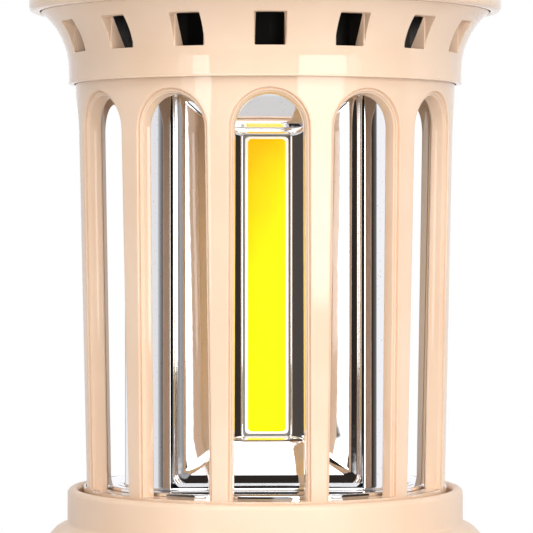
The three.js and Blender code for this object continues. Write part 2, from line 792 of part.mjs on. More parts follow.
const lampSection = section();
addPiece(lampSection, "cage", cageBody(), beige);
cageScrewPlaces.forEach(([x, y], i) => {
  const screw = addPiece(lampSection, `cage_screw_${i + 1}`, screwGeometry(8), steel);
  screw.position.set(x, y, deck.bottom - GAP);
  screw.rotation.x = Math.PI;
});
addPiece(lampSection, "reflector", reflectorBody(), chrome);
addPiece(lampSection, "light_spine", lightSpine(), aluminium);
around(3, (i) => {
  const side = new THREE.Group();
  side.rotation.z = radians(120 * i);
  lampSection.add(side);
  addPiece(side, `strip_board_${i + 1}`, stripBoard(), whiteBoard);
  addPiece(side, `strip_phosphor_${i + 1}`, stripPhosphor(), phosphor);
});

const headSection = section();
addPiece(headSection, "crown", crownBody(), beige);
addPiece(headSection, "chamber_base", chamberBase(), blackPlastic);
headScrewPlaces.forEach(([x, y], i) => {
  const screw = addPiece(headSection, `head_screw_${i + 1}`, screwGeometry(7.8), steel);
  screw.position.set(x, y, crown.ledgeTop + GAP);
});
addPiece(headSection, "insect_tray", insectTray(), blackPlastic);
addPiece(headSection, "grid_frame", gridFrame(), blackPlastic);
addPiece(headSection, "electrode_comb_lower", lowerComb(), steel);
addPiece(headSection, "electrode_comb_upper", upperComb(), steel);
addPiece(
  headSection,
  "grid_top_ring",
  flatRing(grid.frameInner, grid.frameOuter, upperInsulator.bottom, upperInsulator.top, 24),
  blackPlastic,
);
addPiece(headSection, "uv_board", rod(lamp.boardRadius, lamp.boardBottom, lamp.boardTop, 24), greenBoard);
around(3, (i) => {
  const [x, y] = polar(lamp.ledCircle, 30 + 120 * i);
  addPiece(headSection, `uv_led_${i + 1}`, uvLed(), violetLens).position.set(x, y, 0);
});
addPiece(headSection, "uv_diffuser", uvDiffuser(), violetLens);
addPiece(headSection, "rim_ring", rimRing(), beige);

const handleSection = section();
handleSection.position.z = pivot.height;
addPiece(handleSection, "handle", handleBody(), beige);
addPiece(handleSection, "handle_pin_right", pivotPin(), steel);
addPiece(handleSection, "handle_pin_left", pivotPin(), steel).rotation.z = Math.PI;

const lidSection = section();
addPiece(lidSection, "lid", lidShell(), beige);
addPiece(lidSection, "lid_gasket", flatRing(44, 45.4, rim.seat + GAP, lid.flange - GAP), rubber);
addPiece(lidSection, "lid_knob", lidKnob(), beige);

export default bugZapper;
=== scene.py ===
"""Looks of the portable bug zapper: fine meshes, procedural materials, studio light and camera."""

import json
import math

import bmesh
import bpy
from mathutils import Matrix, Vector
from mathutils.geometry import delaunay_2d_cdt


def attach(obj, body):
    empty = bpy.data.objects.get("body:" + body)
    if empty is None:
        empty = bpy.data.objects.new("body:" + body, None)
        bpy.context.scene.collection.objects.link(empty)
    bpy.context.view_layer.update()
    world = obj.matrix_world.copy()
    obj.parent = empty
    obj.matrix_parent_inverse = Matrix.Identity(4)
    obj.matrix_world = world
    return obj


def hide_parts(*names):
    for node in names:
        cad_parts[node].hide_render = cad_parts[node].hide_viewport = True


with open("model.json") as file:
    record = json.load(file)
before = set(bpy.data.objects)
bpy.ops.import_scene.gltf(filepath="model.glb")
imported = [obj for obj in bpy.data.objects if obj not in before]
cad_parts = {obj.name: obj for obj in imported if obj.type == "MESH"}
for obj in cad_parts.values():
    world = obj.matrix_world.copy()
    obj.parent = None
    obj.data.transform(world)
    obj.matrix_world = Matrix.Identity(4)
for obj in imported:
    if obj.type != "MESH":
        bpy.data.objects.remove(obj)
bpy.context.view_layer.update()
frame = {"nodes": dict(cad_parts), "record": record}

MM = 0.001
ROUND = 192  # segments of a large revolved surface
SMALL_ROUND = 64  # segments of a small one
SHARP_ANGLE = 32  # degrees between faces from which an edge stays sharp

# ---- Sizes in millimetres, following the CAD frame ----
# Cage
OPENINGS = 12
CAGE_BOTTOM = 30.4
CAGE_TOP = 130.9
CAGE_WALL = 4.0
CAGE_FOOT_RADIUS = 39.9
CAGE_HEAD_RADIUS = 41.6
TAPER_TOP = 127  # above this height the cage's wall is upright
RING_TOP = 39.4  # lower ring of the cage, between the ribs
FOOT_FLANGE = (32.6, 38.6)  # bore and top of the flange inside the lower ring
HEAD_FLANGE = (35.4, 125.0, 126.6, 128.5)  # bore, foot and head of its cone, and top
ARCH_HEIGHT = 116.75
ARCH_HALF_WIDTH = 7.45
FOOT_HALF_WIDTH = 7.7
BEAD_WIDTH = 0.9

# Crown
VENTS = 16
SKIRT_RADIUS = 43.05
SKIRT_BORE = 41.95
SKIRT_BOTTOM = 127.3
FLARE_START = 130.2
FLARE_RADIUS = 16.6
FLARE_END = 142.8
VENT_BOTTOM = 133.65
VENT_TOP = 140.35
VENT_HALF_WIDTH = 3.4
VENT_BACK_HALF = 2.95
DRUM_RADIUS = 43.4  # where the flared outer wall of the crown meets its upright inner wall
DRUM_BORE = 39.6  # inside radius of that inner wall below the vents
CROWN_SEAT = (46.0, 49.05, 146.4)  # bore, radius and top of the ring that the rim sits on

# Reflector and light strips
REFLECTOR_BOTTOM = 40.2
REFLECTOR_TOP = 128.2
FLOOR_RADIUS = 35.4
FLOOR_BOTTOM = 38.95
FACE = 23.4  # distance of the reflector's flat sides from the axis
FACE_BOTTOM = REFLECTOR_BOTTOM + 1.6  # the flat sides run into a cove below this height
FLAT_HALF = 20.5
CORNER_RADIUS = 31.8  # round corners of the reflector, about its axis
CORNER_START = 22.8  # distance of a round corner's start from the middle of the flat side
DISH_MIDDLE = 83.6
DISH_HALF = (17.4, 40.3)
DISH_LIP = 2.7  # width of the rounded lip round a dish
DISH_EDGE = 20.8
WINDOW = 14.5  # distance from the axis at which a dish meets its light strip
STRIP_FACE = 14.0
STRIP_HALF_WIDTH = 5.17

# Base
COLLAR_TOP = 39.0
COLLAR_RADIUS = 43.45
COLLAR_BORE = 41.0
COLLAR_FLOOR = 30.0
WALL_RADIUS = 49.5
WALL_ROWS = [9.6 + 1.25 * i for i in range(13)]  # heights of the vertex rows in the pierced wall
PLINTH_RADIUS = 51.8
PLINTH_BORE = 49.2
PLINTH_BOTTOM = 1.2
BUTTON_OFFSET = 10
BUTTON_HEIGHT = 16.5
BUTTON_DISH = 6.4  # radius of the shallow dish round a button
SYMBOL_FACE = 49.98
SYMBOL_ROOT = 49.6
PORT_HEIGHT = 14.6
FLAP_HEIGHT = 14.8
POCKET_FLOOR = 47.9

# Rim, lid and handle
RIM_RADIUS = 51.75
RIM_BORE = 43.6
RIM_BOTTOM = 143.0
RIM_SEAT = (49.35, 146.9)  # radius and height of the recess that takes the crown
PIVOT_HEIGHT = 151
RIM_EAR = (47.7, 50, 52.6)  # an ear's inner face, the seam in its bore and its outer face, from the middle
PIN_RADIUS = 1.9
EYE_RADIUS = 4.6
BAIL_HALF = 54.5  # distance of the handle's legs from the middle
SHOULDER = (18, 20, 36.5, 37.0)  # middle of the handle's bend over the pivots, and its two radii
GRIP_RADIUS = 4.28
GRIP_RIBS = 13


# ---- Mesh building ----
def cage_radius(z):
    """Outer radius of the tapering cage."""
    share = (z - RING_TOP) / (TAPER_TOP - RING_TOP)
    return CAGE_FOOT_RADIUS + (CAGE_HEAD_RADIUS - CAGE_FOOT_RADIUS) * min(max(share, 0), 1)


def flare_radius(z):
    """Outer radius of the crown: an upright skirt that curves outwards."""
    rise = min(max(z - FLARE_START, 0), FLARE_END - FLARE_START)
    return SKIRT_RADIUS + FLARE_RADIUS - math.sqrt(FLARE_RADIUS**2 - rise**2)


def on_circle(radius, angle, z):
    """A point at an angle from the front, positive towards +X."""
    return Vector((radius * math.sin(angle), -radius * math.cos(angle), z))


def turned(points, angle):
    """Points turned about Z."""
    c, s = math.cos(angle), math.sin(angle)
    return [Vector((c * p[0] - s * p[1], s * p[0] + c * p[1], p[2])) for p in points]


def between(start, end, steps):
    """Points along a straight line, without its end."""
    (x0, z0), (x1, z1) = start, end
    return [(x0 + (x1 - x0) * i / steps, z0 + (z1 - z0) * i / steps) for i in range(steps)]


def arc(x, z, radius, start, end, steps):
    """Points round an arc from one angle to another, in degrees, with both its ends."""
    angles = [math.radians(start + (end - start) * i / steps) for i in range(steps + 1)]
    return [(x + radius * math.cos(a), z + radius * math.sin(a)) for a in angles]


def circle(radius, x=0.0, z=0.0, steps=48):
    """A circle of (t, z) points."""
    return arc(x, z, radius, 0, 360, steps)[:-1]


class Shell:
    """Vertices and faces of one piece, in millimetres."""

    def __init__(self):
        self.verts = []
        self.faces = []

    def add(self, verts, faces):
        """Takes in vertices and the faces between them."""
        start = len(self.verts)
        self.verts += [Vector(v) for v in verts]
        self.faces += [tuple(start + i for i in face) for face in faces]

    def revolve(self, profile, segments=ROUND):
        """Turns (radius, z) points about Z; they run anticlockwise as seen with +r to the right."""
        angles = [2 * math.pi * i / segments for i in range(segments)]
        return self.loft([[on_circle(r, angle, z) for angle in angles] for r, z in profile])

    def loft(self, loops, ring=True):
        """Quads between loops with the same number of points."""
        count = len(loops[0])
        verts = [p for loop in loops for p in loop]
        faces = []
        for k in range(len(loops) - 1):
            for i in range(count if ring else count - 1):
                j = (i + 1) % count
                faces.append((k * count + i, k * count + j, (k + 1) * count + j, (k + 1) * count + i))
        self.add(verts, faces)
        return self

    def cap(self, loop):
        """One flat face over a loop."""
        self.add(loop, [tuple(range(len(loop)))])
        return self

    def repeat(self, count):
        """The shell so far, copied round Z."""
        verts, faces = list(self.verts), list(self.faces)
        for k in range(1, count):
            self.add(turned(verts, 2 * math.pi * k / count), faces)

    def place(self, put):
        """Moves every vertex with a function of its point."""
        self.verts = [Vector(put(v)) for v in self.verts]
        return self

    def turn(self, angle):
        """Turns the shell about Z."""
        self.verts = turned(self.verts, angle)
        return self

    def join(self, other):
        """Takes in another shell."""
        self.add(other.verts, other.faces)


def fillet(points, radius, steps=5):
    """An open line of (r, z) points with its corners rounded, by one radius or by one for each corner."""
    radii = [radius] * (len(points) - 2) if isinstance(radius, (int, float)) else list(radius)
    made = [tuple(points[0])]
    for before, corner, after, r in zip(points, points[1:], points[2:], radii):
        a = Vector(before) - Vector(corner)
        b = Vector(after) - Vector(corner)
        half = a.angle(b) / 2
        if r <= 0 or abs(half - math.pi / 2) < 1e-3:
            made.append(tuple(corner))
            continue
        run = min(r / math.tan(half), a.length * 0.49, b.length * 0.49)
        r = run * math.tan(half)
        start = Vector(corner) + a.normalized() * run
        end = Vector(corner) + b.normalized() * run
        centre = Vector(corner) + (a.normalized() + b.normalized()).normalized() * (r / math.sin(half))
        u, v = start - centre, end - centre
        turn = u.angle(v)
        for i in range(steps + 1):
            share = i / steps
            swung = u * math.sin((1 - share) * turn) + v * math.sin(share * turn)
            made.append(tuple(centre + swung / math.sin(turn)))
    made.append(tuple(points[-1]))
    return made


def inside(point, outline):
    """Whether a 2D point lies inside a closed outline."""
    x, y = point
    hit = False
    for (x0, y0), (x1, y1) in zip(outline, outline[1:] + outline[:1]):
        if (y0 > y) != (y1 > y) and x < (x1 - x0) * (y - y0) / (y1 - y0) + x0:
            hit = not hit
    return hit


def near_outline(point, outline, reach=0.4):
    """Whether a 2D point lies inside an outline or close to one of its points."""
    close = any((point[0] - x) ** 2 + (point[1] - y) ** 2 < reach**2 for x, y in outline)
    return close or inside(point, outline)


def pierced_wall(shell, radius_at, half_angle, z_rows, holes, outward=True, columns=12):
    """One sector of a revolved wall.

    Each hole is a list of (t, z) outlines, from a guard line that keeps other vertices away to its edge.
    """
    mean = radius_at(sum(z_rows) / len(z_rows))

    def flat(loop):
        return [(math.asin(t / radius_at(z)) * mean, z) for t, z in loop]

    holes = [[flat(loop) for loop in hole] for hole in holes]
    verts = []
    edges = []
    for loop in [loop for hole in holes for loop in hole]:
        start = len(verts)
        verts += loop
        edges += [(start + i, start + (i + 1) % len(loop)) for i in range(len(loop))]
    wide = half_angle * mean
    for row, z in enumerate(z_rows):
        for column in range(columns + 1):
            point = (wide * (2 * column / columns - 1), z)
            border = row in (0, len(z_rows) - 1) or column in (0, columns)
            if border or not any(near_outline(point, hole[0]) for hole in holes):
                verts.append(point)
    found, _, faces, *_ = delaunay_2d_cdt([Vector(v) for v in verts], edges, [], 0, 1e-5)
    points = [on_circle(radius_at(v[1]), v[0] / mean, v[1]) for v in found]
    kept = []
    for face in faces:
        middle = (sum(found[i][0] for i in face) / 3, sum(found[i][1] for i in face) / 3)
        if not any(inside(middle, hole[-1]) for hole in holes):
            kept.append(tuple(face) if outward else tuple(reversed(face)))
    shell.add(points, kept)


def finish_mesh(name, shell, slot, body="body", stands_for=(), material=None):
    """A smooth mesh object from a shell, riding on a CAD body and standing for CAD nodes."""
    mesh = bpy.data.meshes.new(name)
    mesh.from_pydata([v * MM for v in shell.verts], [], shell.faces)
    obj = bpy.data.objects.new(name, mesh)
    bpy.context.scene.collection.objects.link(obj)
    weld(mesh)
    mesh.shade_smooth()
    mesh.set_sharp_from_angle(angle=math.radians(SHARP_ANGLE))
    mesh.materials.append(material or LOOKS[slot])
    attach(obj, body)
    if stands_for:
        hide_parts(*stands_for)


def weld(mesh, distance=2e-6):
    """Joins vertices that lie together and drops faces without area."""
    work = bmesh.new()
    work.from_mesh(mesh)
    bmesh.ops.remove_doubles(work, verts=work.verts, dist=distance)
    bmesh.ops.dissolve_degenerate(work, edges=work.edges, dist=distance)
    work.to_mesh(mesh)
    work.free()


# ---- Materials ----
def feed(tree, socket, value):
    """Sets a socket to a number or colour, or links it to another socket."""
    if isinstance(value, bpy.types.NodeSocket):
        tree.links.new(value, socket)
    else:
        socket.default_value = value


def fill(tree, node, **values):
    """Sets or links sockets of a node, by name with _ for a space."""
    for name, value in values.items():
        feed(tree, node.inputs[name.replace("_", " ")], value)


def add_node(tree, kind, **values):
    """A new shader node with its sockets filled."""
    node = tree.nodes.new("ShaderNode" + kind)
    fill(tree, node, **values)
    return node


def math_node(tree, operation, *values):
    """The result of a Math node."""
    node = add_node(tree, "Math")
    node.operation = operation
    for socket, value in zip(node.inputs, values):
        feed(tree, socket, value)
    return node.outputs["Value"]


def range_node(tree, value, source, target, interpolation="LINEAR"):
    """Maps a value from one range, given as its two ends, to another."""
    node = add_node(tree, "MapRange", Value=value, From_Min=source[0], From_Max=source[1])
    fill(tree, node, To_Min=target[0], To_Max=target[1])
    node.interpolation_type = interpolation
    return node.outputs["Result"]


def mix_node(tree, share, first, second):
    """Two colours mixed."""
    node = add_node(tree, "Mix")
    node.data_type = "RGBA"
    colour_sockets = (node.inputs[0], node.inputs[6], node.inputs[7])
    for socket, value in zip(colour_sockets, (share, first, second)):
        feed(tree, socket, value)
    return node.outputs[2]


class Look:
    """A node material being put together."""

    def __init__(self, name):
        self.material = bpy.data.materials.new(name)
        self.material.use_nodes = True
        self.tree = self.material.node_tree
        self.place = add_node(self.tree, "TexCoord").outputs["Object"]

    def set(self, **values):
        """Sets or links sockets of the shader, by name with _ for a space."""
        fill(self.tree, self.tree.nodes["Principled BSDF"], **values)
        return self

    def noise(self, size_mm, detail=2.0, stretch=(1, 1, 1)):
        """Noise with features of about the given size."""
        place = add_node(self.tree, "Mapping", Vector=self.place, Scale=stretch).outputs["Vector"]
        node = add_node(self.tree, "TexNoise", Vector=place, Scale=1000 / size_mm, Detail=detail)
        return node.outputs["Fac"]

    def spread(self, value, low, high, start=0.3, end=0.7):
        """Maps a value from start and end to two other numbers."""
        return range_node(self.tree, value, (start, end), (low, high))

    def blend(self, share, first, second):
        """Mixes two colours."""
        return mix_node(self.tree, share, first, second)

    def bump(self, height, distance_mm, under=None):
        """A bump from a height, optionally on top of another."""
        node = add_node(self.tree, "Bump", Height=height, Distance=distance_mm * MM)
        if under is not None:
            fill(self.tree, node, Normal=under)
        return node.outputs["Normal"]


def colour(code, alpha=1.0):
    """A linear colour from an sRGB hex number."""
    parts = [(code >> shift & 255) / 255 for shift in (16, 8, 0)]
    return tuple(c / 12.92 if c <= 0.04045 else ((c + 0.055) / 1.055) ** 2.4 for c in parts) + (alpha,)


def plastic(name, base, shade, roughness, grain_mm=0.3, grain_depth=0.002, wave_depth=0.012):
    """Injection-moulded plastic: faint flow variation, fine grain and slight waviness."""
    look = Look(name)
    tone = look.spread(look.noise(18, 3), 0, 1)
    look.set(Base_Color=look.blend(tone, colour(base), colour(shade)))
    look.set(Roughness=look.spread(look.noise(2.5, 4), roughness * 0.85, roughness * 1.25))
    waves = look.bump(look.noise(14, 1), wave_depth)
    look.set(Normal=look.bump(look.noise(grain_mm, 2), grain_depth, under=waves))
    look.set(Specular_IOR_Level=0.5, IOR=1.5)
    return look


def translucent(look):
    """Lets a little light scatter below the surface, red the deepest."""
    return look.set(Subsurface_Weight=0.08, Subsurface_Radius=(1.0, 0.6, 0.35), Subsurface_Scale=0.0015)


def beige_gloss():
    """The polished mouldings of the lamp and the head."""
    return translucent(plastic("beige_gloss", 0xF0D4BA, 0xECCDB1, 0.035)).material


def beige_satin():
    """The softer finish of the base and the grip."""
    look = plastic("beige_satin", 0xEFD3B9, 0xEBCCB0, 0.34, grain_mm=0.25, grain_depth=0.012)
    return translucent(look).material


def black_plastic():
    """Dark plastic: the buttons, battery tray and zapping chamber."""
    return plastic("black_plastic", 0x131313, 0x0D0D0E, 0.42, grain_mm=0.2, grain_depth=0.01).material


def chrome():
    """Vacuum-plated plastic: a clean mirror with slight waves and a few dust specks."""
    look = Look("chrome_plate")
    look.set(Metallic=1.0)
    specks = look.spread(look.noise(0.35, 1), 0, 1, 0.72, 0.76)
    look.set(Base_Color=look.blend(specks, colour(0xF2F2F4), colour(0xB9B4AE)))
    look.set(Roughness=look.spread(look.noise(6, 3), 0.015, 0.05))
    waves = look.bump(look.noise(11, 1, stretch=(1, 1, 0.35)), 0.05)
    look.set(Normal=look.bump(look.noise(3.5, 2), 0.006, under=waves))
    return look.material


def phosphor():
    """Yellow silicone over the light strip's chips, amber towards its upper left, with a faint painted glow
    that brightens the yellow.
    """
    look = Look("phosphor")
    split = add_node(look.tree, "SeparateXYZ", Vector=look.place)
    uneven = math_node(look.tree, "MULTIPLY_ADD", look.noise(9, 2), 0.012, split.outputs["Z"])
    slanted = math_node(look.tree, "MULTIPLY_ADD", split.outputs["X"], -2.2, uneven)
    amber = look.spread(slanted, 0, 1, 0.1, 0.122)
    tint = look.blend(amber, colour(0xFFDC00), colour(0xFFBE00))
    look.set(Base_Color=tint, Roughness=look.spread(look.noise(1.5, 2), 0.3, 0.45))
    # Painted light: the emission is a faint glow that makes the yellow brighter, standing in for light; the
    # strip is not lit as a lamp.
    look.set(Emission_Color=tint, Emission_Strength=0.36, Specular_IOR_Level=0.15)
    look.set(Normal=look.bump(look.noise(0.6, 3), 0.02))
    return look.material


def strip_white():
    """The light strip's board and the buttons' symbols, with a faint painted glow that brightens them where
    the studio light is weak.
    """
    look = plastic("strip_white", 0xFDF8EE, 0xF8F0E4, 0.35, grain_mm=0.4, grain_depth=0.006)
    # Painted light: this emission is a glow standing in for light, not a lamp.
    return look.set(Emission_Color=colour(0xFFF3DC), Emission_Strength=0.3).material


def rubber():
    """Matt silicone: the port's flap, the feet, the gasket and the wires."""
    return plastic("rubber_dark", 0x2B2927, 0x222120, 0.75, grain_mm=0.3, grain_depth=0.02).material


def bare_metal(name, base, shade, roughness):
    """Uncoated metal with fine streaks along Z."""
    look = Look(name)
    streaks = look.noise(1.2, 4, stretch=(1, 1, 0.08))
    look.set(Metallic=1.0, Base_Color=look.blend(look.spread(streaks, 0, 1), colour(base), colour(shade)))
    look.set(Roughness=look.spread(streaks, roughness * 0.8, roughness * 1.3))
    look.set(Normal=look.bump(streaks, 0.004))
    return look.material


def board():
    """Green solder mask of the circuit boards."""
    return plastic("board_green", 0x1D6B3A, 0x16552E, 0.35, grain_mm=1.2, grain_depth=0.01).material


def clear(name, tint):
    """Clear moulded plastic, tinted."""
    look = Look(name)
    look.set(Transmission_Weight=0.85, Base_Color=colour(tint), IOR=1.49)
    look.set(Roughness=look.spread(look.noise(4, 3), 0.028, 0.064))
    look.set(Normal=look.bump(look.noise(5, 2), 0.01))
    return look.material


LOOKS = {
    "beige_plastic": beige_gloss(),
    "chrome_plated": chrome(),
    "aluminium": bare_metal("aluminium", 0xC2C5C9, 0xA9ACB0, 0.35),
    "steel": bare_metal("steel", 0xB4B6B8, 0x97999B, 0.3),
    "black_plastic": black_plastic(),
    "rubber_dark": rubber(),
    "phosphor": phosphor(),
    "strip_white": strip_white(),
    "board_green": board(),
    "epoxy": plastic("epoxy", 0x1B222D, 0x141A22, 0.4).material,
    "cell_wrap": plastic("cell_wrap", 0x2C6CAD, 0x255C95, 0.25).material,
    "violet_lens": clear("violet_lens", 0xA58DF0),
    "clear_lens": clear("clear_lens", 0xE8EEF4),
}
SATIN = beige_satin()


# ---- Cage ----
def arch(margin, steps=20, rows=10, across=8):
    """The outline of one opening, grown by a margin at its sides and head, from the lower left corner."""
    half_foot = FOOT_HALF_WIDTH + margin
    half = ARCH_HALF_WIDTH + margin
    sill = between((-half_foot, RING_TOP), (half_foot, RING_TOP), across)
    right = between((half_foot, RING_TOP), (half, ARCH_HEIGHT), rows)
    head = arc(0, ARCH_HEIGHT, half, 0, 180, steps)
    left = [(-t, z) for t, z in reversed(right)][:-1]
    return sill + right + head + left


def rib_section():
    """Through the edge of an opening, from the foot of its bead to the inner wall, as (margin, depth)."""
    bead = BEAD_WIDTH
    return [
        (bead + 0.22, 0.0), (bead + 0.1, 0.03), (bead + 0.03, 0.12), (bead, 0.3),
        (bead - 0.03, 0.62), (bead - 0.1, 0.72), (bead - 0.2, 0.66), (bead - 0.3, 0.52),
        (bead - 0.42, 0.46), (bead - 0.54, 0.5), (0.26, 0.66), (0.2, 0.88), (0.13, 1.0),
        (0.04, 1.02), (-0.04, 1.1), (-0.1, 1.35), (-0.44, 3.3), (-0.44, 3.5), (-0.36, 3.7),
        (-0.16, CAGE_WALL - 0.12), (0.02, CAGE_WALL),
    ]


def opening_loop(margin, depth):
    """The outline of an opening laid on the cage, sunk by a depth."""
    return [Vector((t, depth - math.sqrt(cage_radius(z) ** 2 - t**2), z)) for t, z in arch(margin)]


def cage_inner(z):
    """Inner radius of the cage."""
    return cage_radius(z) - CAGE_WALL


def cage_shell():
    """Twelve openings, each with a stepped bead, walls that draft inwards and an eased inner edge."""
    shell = Shell()
    section = rib_section()
    sector = math.pi / OPENINGS
    rows = [CAGE_BOTTOM, RING_TOP - 0.5, RING_TOP + 6]
    rows += [RING_TOP + 6 + 12 * i for i in range(1, 6)]
    rows += [ARCH_HEIGHT - 1 + 1.6 * i for i in range(9)] + [CAGE_TOP]
    front_margin = section[0][0]
    back_margin = section[-1][0]
    front = [arch(front_margin + 0.35), arch(front_margin)]
    back = [arch(back_margin + 0.3), arch(back_margin)]
    pierced_wall(shell, cage_radius, sector, rows, [front])
    shell.loft([opening_loop(margin, depth) for margin, depth in section])
    pierced_wall(shell, cage_inner, sector, rows, [back], outward=False)
    shell.repeat(OPENINGS)
    return shell


def make_cage():
    """The pierced cage between a ring at its foot and one at its head, each with a flange inside."""
    shell = cage_shell()
    foot_inner = CAGE_FOOT_RADIUS - CAGE_WALL
    head_inner = CAGE_HEAD_RADIUS - CAGE_WALL
    foot_bore, foot_top = FOOT_FLANGE
    head_bore, cone_foot, cone_head, head_top = HEAD_FLANGE
    foot = [(foot_inner, foot_top), (foot_bore, foot_top), (foot_bore, CAGE_BOTTOM)]
    head = [
        (head_inner, cone_foot),
        (head_bore, cone_head),
        (head_bore, head_top),
        (head_inner + 2.3, head_top),
    ]
    shell.revolve([(foot_inner, CAGE_BOTTOM), (CAGE_FOOT_RADIUS, CAGE_BOTTOM)])
    shell.revolve([(CAGE_HEAD_RADIUS, CAGE_TOP), (head_inner, CAGE_TOP)])
    shell.revolve(fillet(foot, 0.4))
    shell.revolve(fillet(head, 0.3, 3)[::-1])
    finish_mesh("cage_body", shell, "beige_plastic", stands_for=["cage"])


# ---- Crown ----
def vent_outline(half, low=VENT_BOTTOM, high=VENT_TOP, corner=0.25, across=8, up=8):
    """A rectangle with eased corners, from the lower left, with a number of steps across and up."""
    corners = [(-half, low, 180), (half, low, 270), (half, high, 0), (-half, high, 90)]
    rounds = []
    for t, z, start in corners:
        ct = t - math.copysign(corner, t)
        cz = z + corner if z == low else z - corner
        rounds.append(arc(ct, cz, corner, start, start + 90, 3))
    outline = []
    for k, steps in enumerate([across, up] * 2):
        outline += rounds[k][:-1] + between(rounds[k][-1], rounds[(k + 1) % 4][0], steps)
    return outline


def grown_vent(half, margin, corner):
    """A vent's outline grown by a margin on all sides."""
    return vent_outline(half + margin, VENT_BOTTOM - margin, VENT_TOP + margin, corner)


def drum_inner(z):
    """Inner radius of the crown's upright wall, which thins towards the top."""
    share = (z - VENT_BOTTOM) / (VENT_TOP - VENT_BOTTOM)
    return DRUM_BORE + (DRUM_RADIUS - 0.1 - DRUM_BORE) * min(max(share, 0), 1)


def drum_outer(z):
    """Outer radius of the crown's upright wall, which the flare runs into below."""
    return min(flare_radius(z) - 0.1, DRUM_RADIUS)


def vent_loop(outline, radius_at):
    """A vent outline laid on a wall with a radius for each height."""
    return [Vector((t, -math.sqrt(radius_at(z) ** 2 - t**2), z)) for t, z in outline]


def vents_shell():
    """The flared wall and the upright wall behind it, pierced by vents with a step where the walls meet."""
    shell = Shell()
    sector = math.pi / VENTS
    rows = [FLARE_START] + [FLARE_START + 1.05 * i for i in range(1, 12)] + [FLARE_END]
    lip = grown_vent(VENT_HALF_WIDTH, 0.07, 0.3)
    back = vent_outline(VENT_BACK_HALF)
    tunnel = [
        vent_loop(lip, flare_radius),
        vent_loop(vent_outline(VENT_HALF_WIDTH), lambda z: flare_radius(z) - 0.08),
        vent_loop(vent_outline(VENT_HALF_WIDTH - 0.04), drum_outer),
        vent_loop(vent_outline(VENT_BACK_HALF + 0.22), lambda z: drum_outer(z) - 0.03),
        vent_loop(back, drum_inner),
    ]
    front_hole = [grown_vent(VENT_HALF_WIDTH, 0.35, 0.5), lip]
    back_hole = [grown_vent(VENT_BACK_HALF, 0.3, 0.5), back]
    pierced_wall(shell, flare_radius, sector, rows, [front_hole], columns=14)
    shell.loft(tunnel)
    pierced_wall(shell, drum_inner, sector, rows, [back_hole], outward=False, columns=14)
    shell.repeat(VENTS)
    return shell


def make_crown():
    """The vented, flared crown with a beaded skirt below and a seat for the rim on top."""
    shell = vents_shell()
    skirt = [
        (SKIRT_BORE, SKIRT_BOTTOM + 1), (SKIRT_BORE, SKIRT_BOTTOM + 0.04),
        (SKIRT_BORE + 0.05, SKIRT_BOTTOM), (SKIRT_RADIUS - 0.04, SKIRT_BOTTOM),
        (SKIRT_RADIUS + 0.1, SKIRT_BOTTOM + 0.08), (SKIRT_RADIUS + 0.12, SKIRT_BOTTOM + 0.16),
        (SKIRT_RADIUS + 0.1, SKIRT_BOTTOM + 0.25), (SKIRT_RADIUS, SKIRT_BOTTOM + 0.42),
        (SKIRT_RADIUS, SKIRT_BOTTOM + 0.5), (SKIRT_RADIUS, FLARE_START),
    ]
    bore, radius, top = CROWN_SEAT
    seat = [
        (flare_radius(FLARE_END), FLARE_END),
        (radius, FLARE_END + 0.2),
        (radius, top),
        (bore, top),
        (drum_inner(FLARE_END), FLARE_END),
    ]
    shell.revolve(skirt)
    shell.revolve(fillet(seat, [0, 0.5, 0.5], 4))
    shell.revolve([(DRUM_BORE, FLARE_START), (DRUM_BORE, FLARE_START + 1)])
    finish_mesh("crown_body", shell, "beige_plastic", stands_for=["crown"])


# ---- Reflector ----
def rounded_rectangle(half_width, reach, corner, n, middle=DISH_MIDDLE, across=6, up=16):
    """A loop at distance n before the axis; it reaches one height, or (below, above), from the middle."""
    below, above = reach if isinstance(reach, tuple) else (reach, reach)
    corners = [
        (half_width, -below, -90),
        (half_width, above, 0),
        (-half_width, above, 90),
        (-half_width, -below, 180),
    ]
    rounds = []
    for t, z, start in corners:
        ct = t - math.copysign(corner, t)
        cz = z - math.copysign(corner, z)
        rounds.append(arc(ct, cz, corner, start, start + 90, 8))
    outline = []
    for k, steps in enumerate([up, across] * 2):
        outline += rounds[k][:-1] + between(rounds[k][-1], rounds[(k + 1) % 4][0], steps)
    return [Vector((x, -n, middle + z)) for x, z in outline]


def rectangle_loops(rows, middle=DISH_MIDDLE):
    """Rounded rectangles from rows of (half width, half height, corner radius, distance from the axis)."""
    return [rounded_rectangle(a, b, corner, n, middle) for a, b, corner, n in rows]


def corner_outline():
    """From the right end of the front flat round to the start of the next flat, as (x, y)."""
    edge = (CORNER_START, -math.sqrt(CORNER_RADIUS**2 - CORNER_START**2))
    half = fillet([(FLAT_HALF - 0.3, -FACE), (FLAT_HALF + 0.15, -FACE), edge], 0.7, 6)
    start = math.asin(CORNER_START / CORNER_RADIUS)
    steps = 8
    for i in range(1, steps + 1):
        angle = start + (math.pi / 3 - start) * i / steps
        half.append((CORNER_RADIUS * math.sin(angle), -CORNER_RADIUS * math.cos(angle)))
    mirror = []
    for x, y in reversed(half[:-1]):
        angle = math.radians(120) - math.atan2(x, -y)
        radius = math.hypot(x, y)
        mirror.append((radius * math.sin(angle), -radius * math.cos(angle)))
    return half + mirror


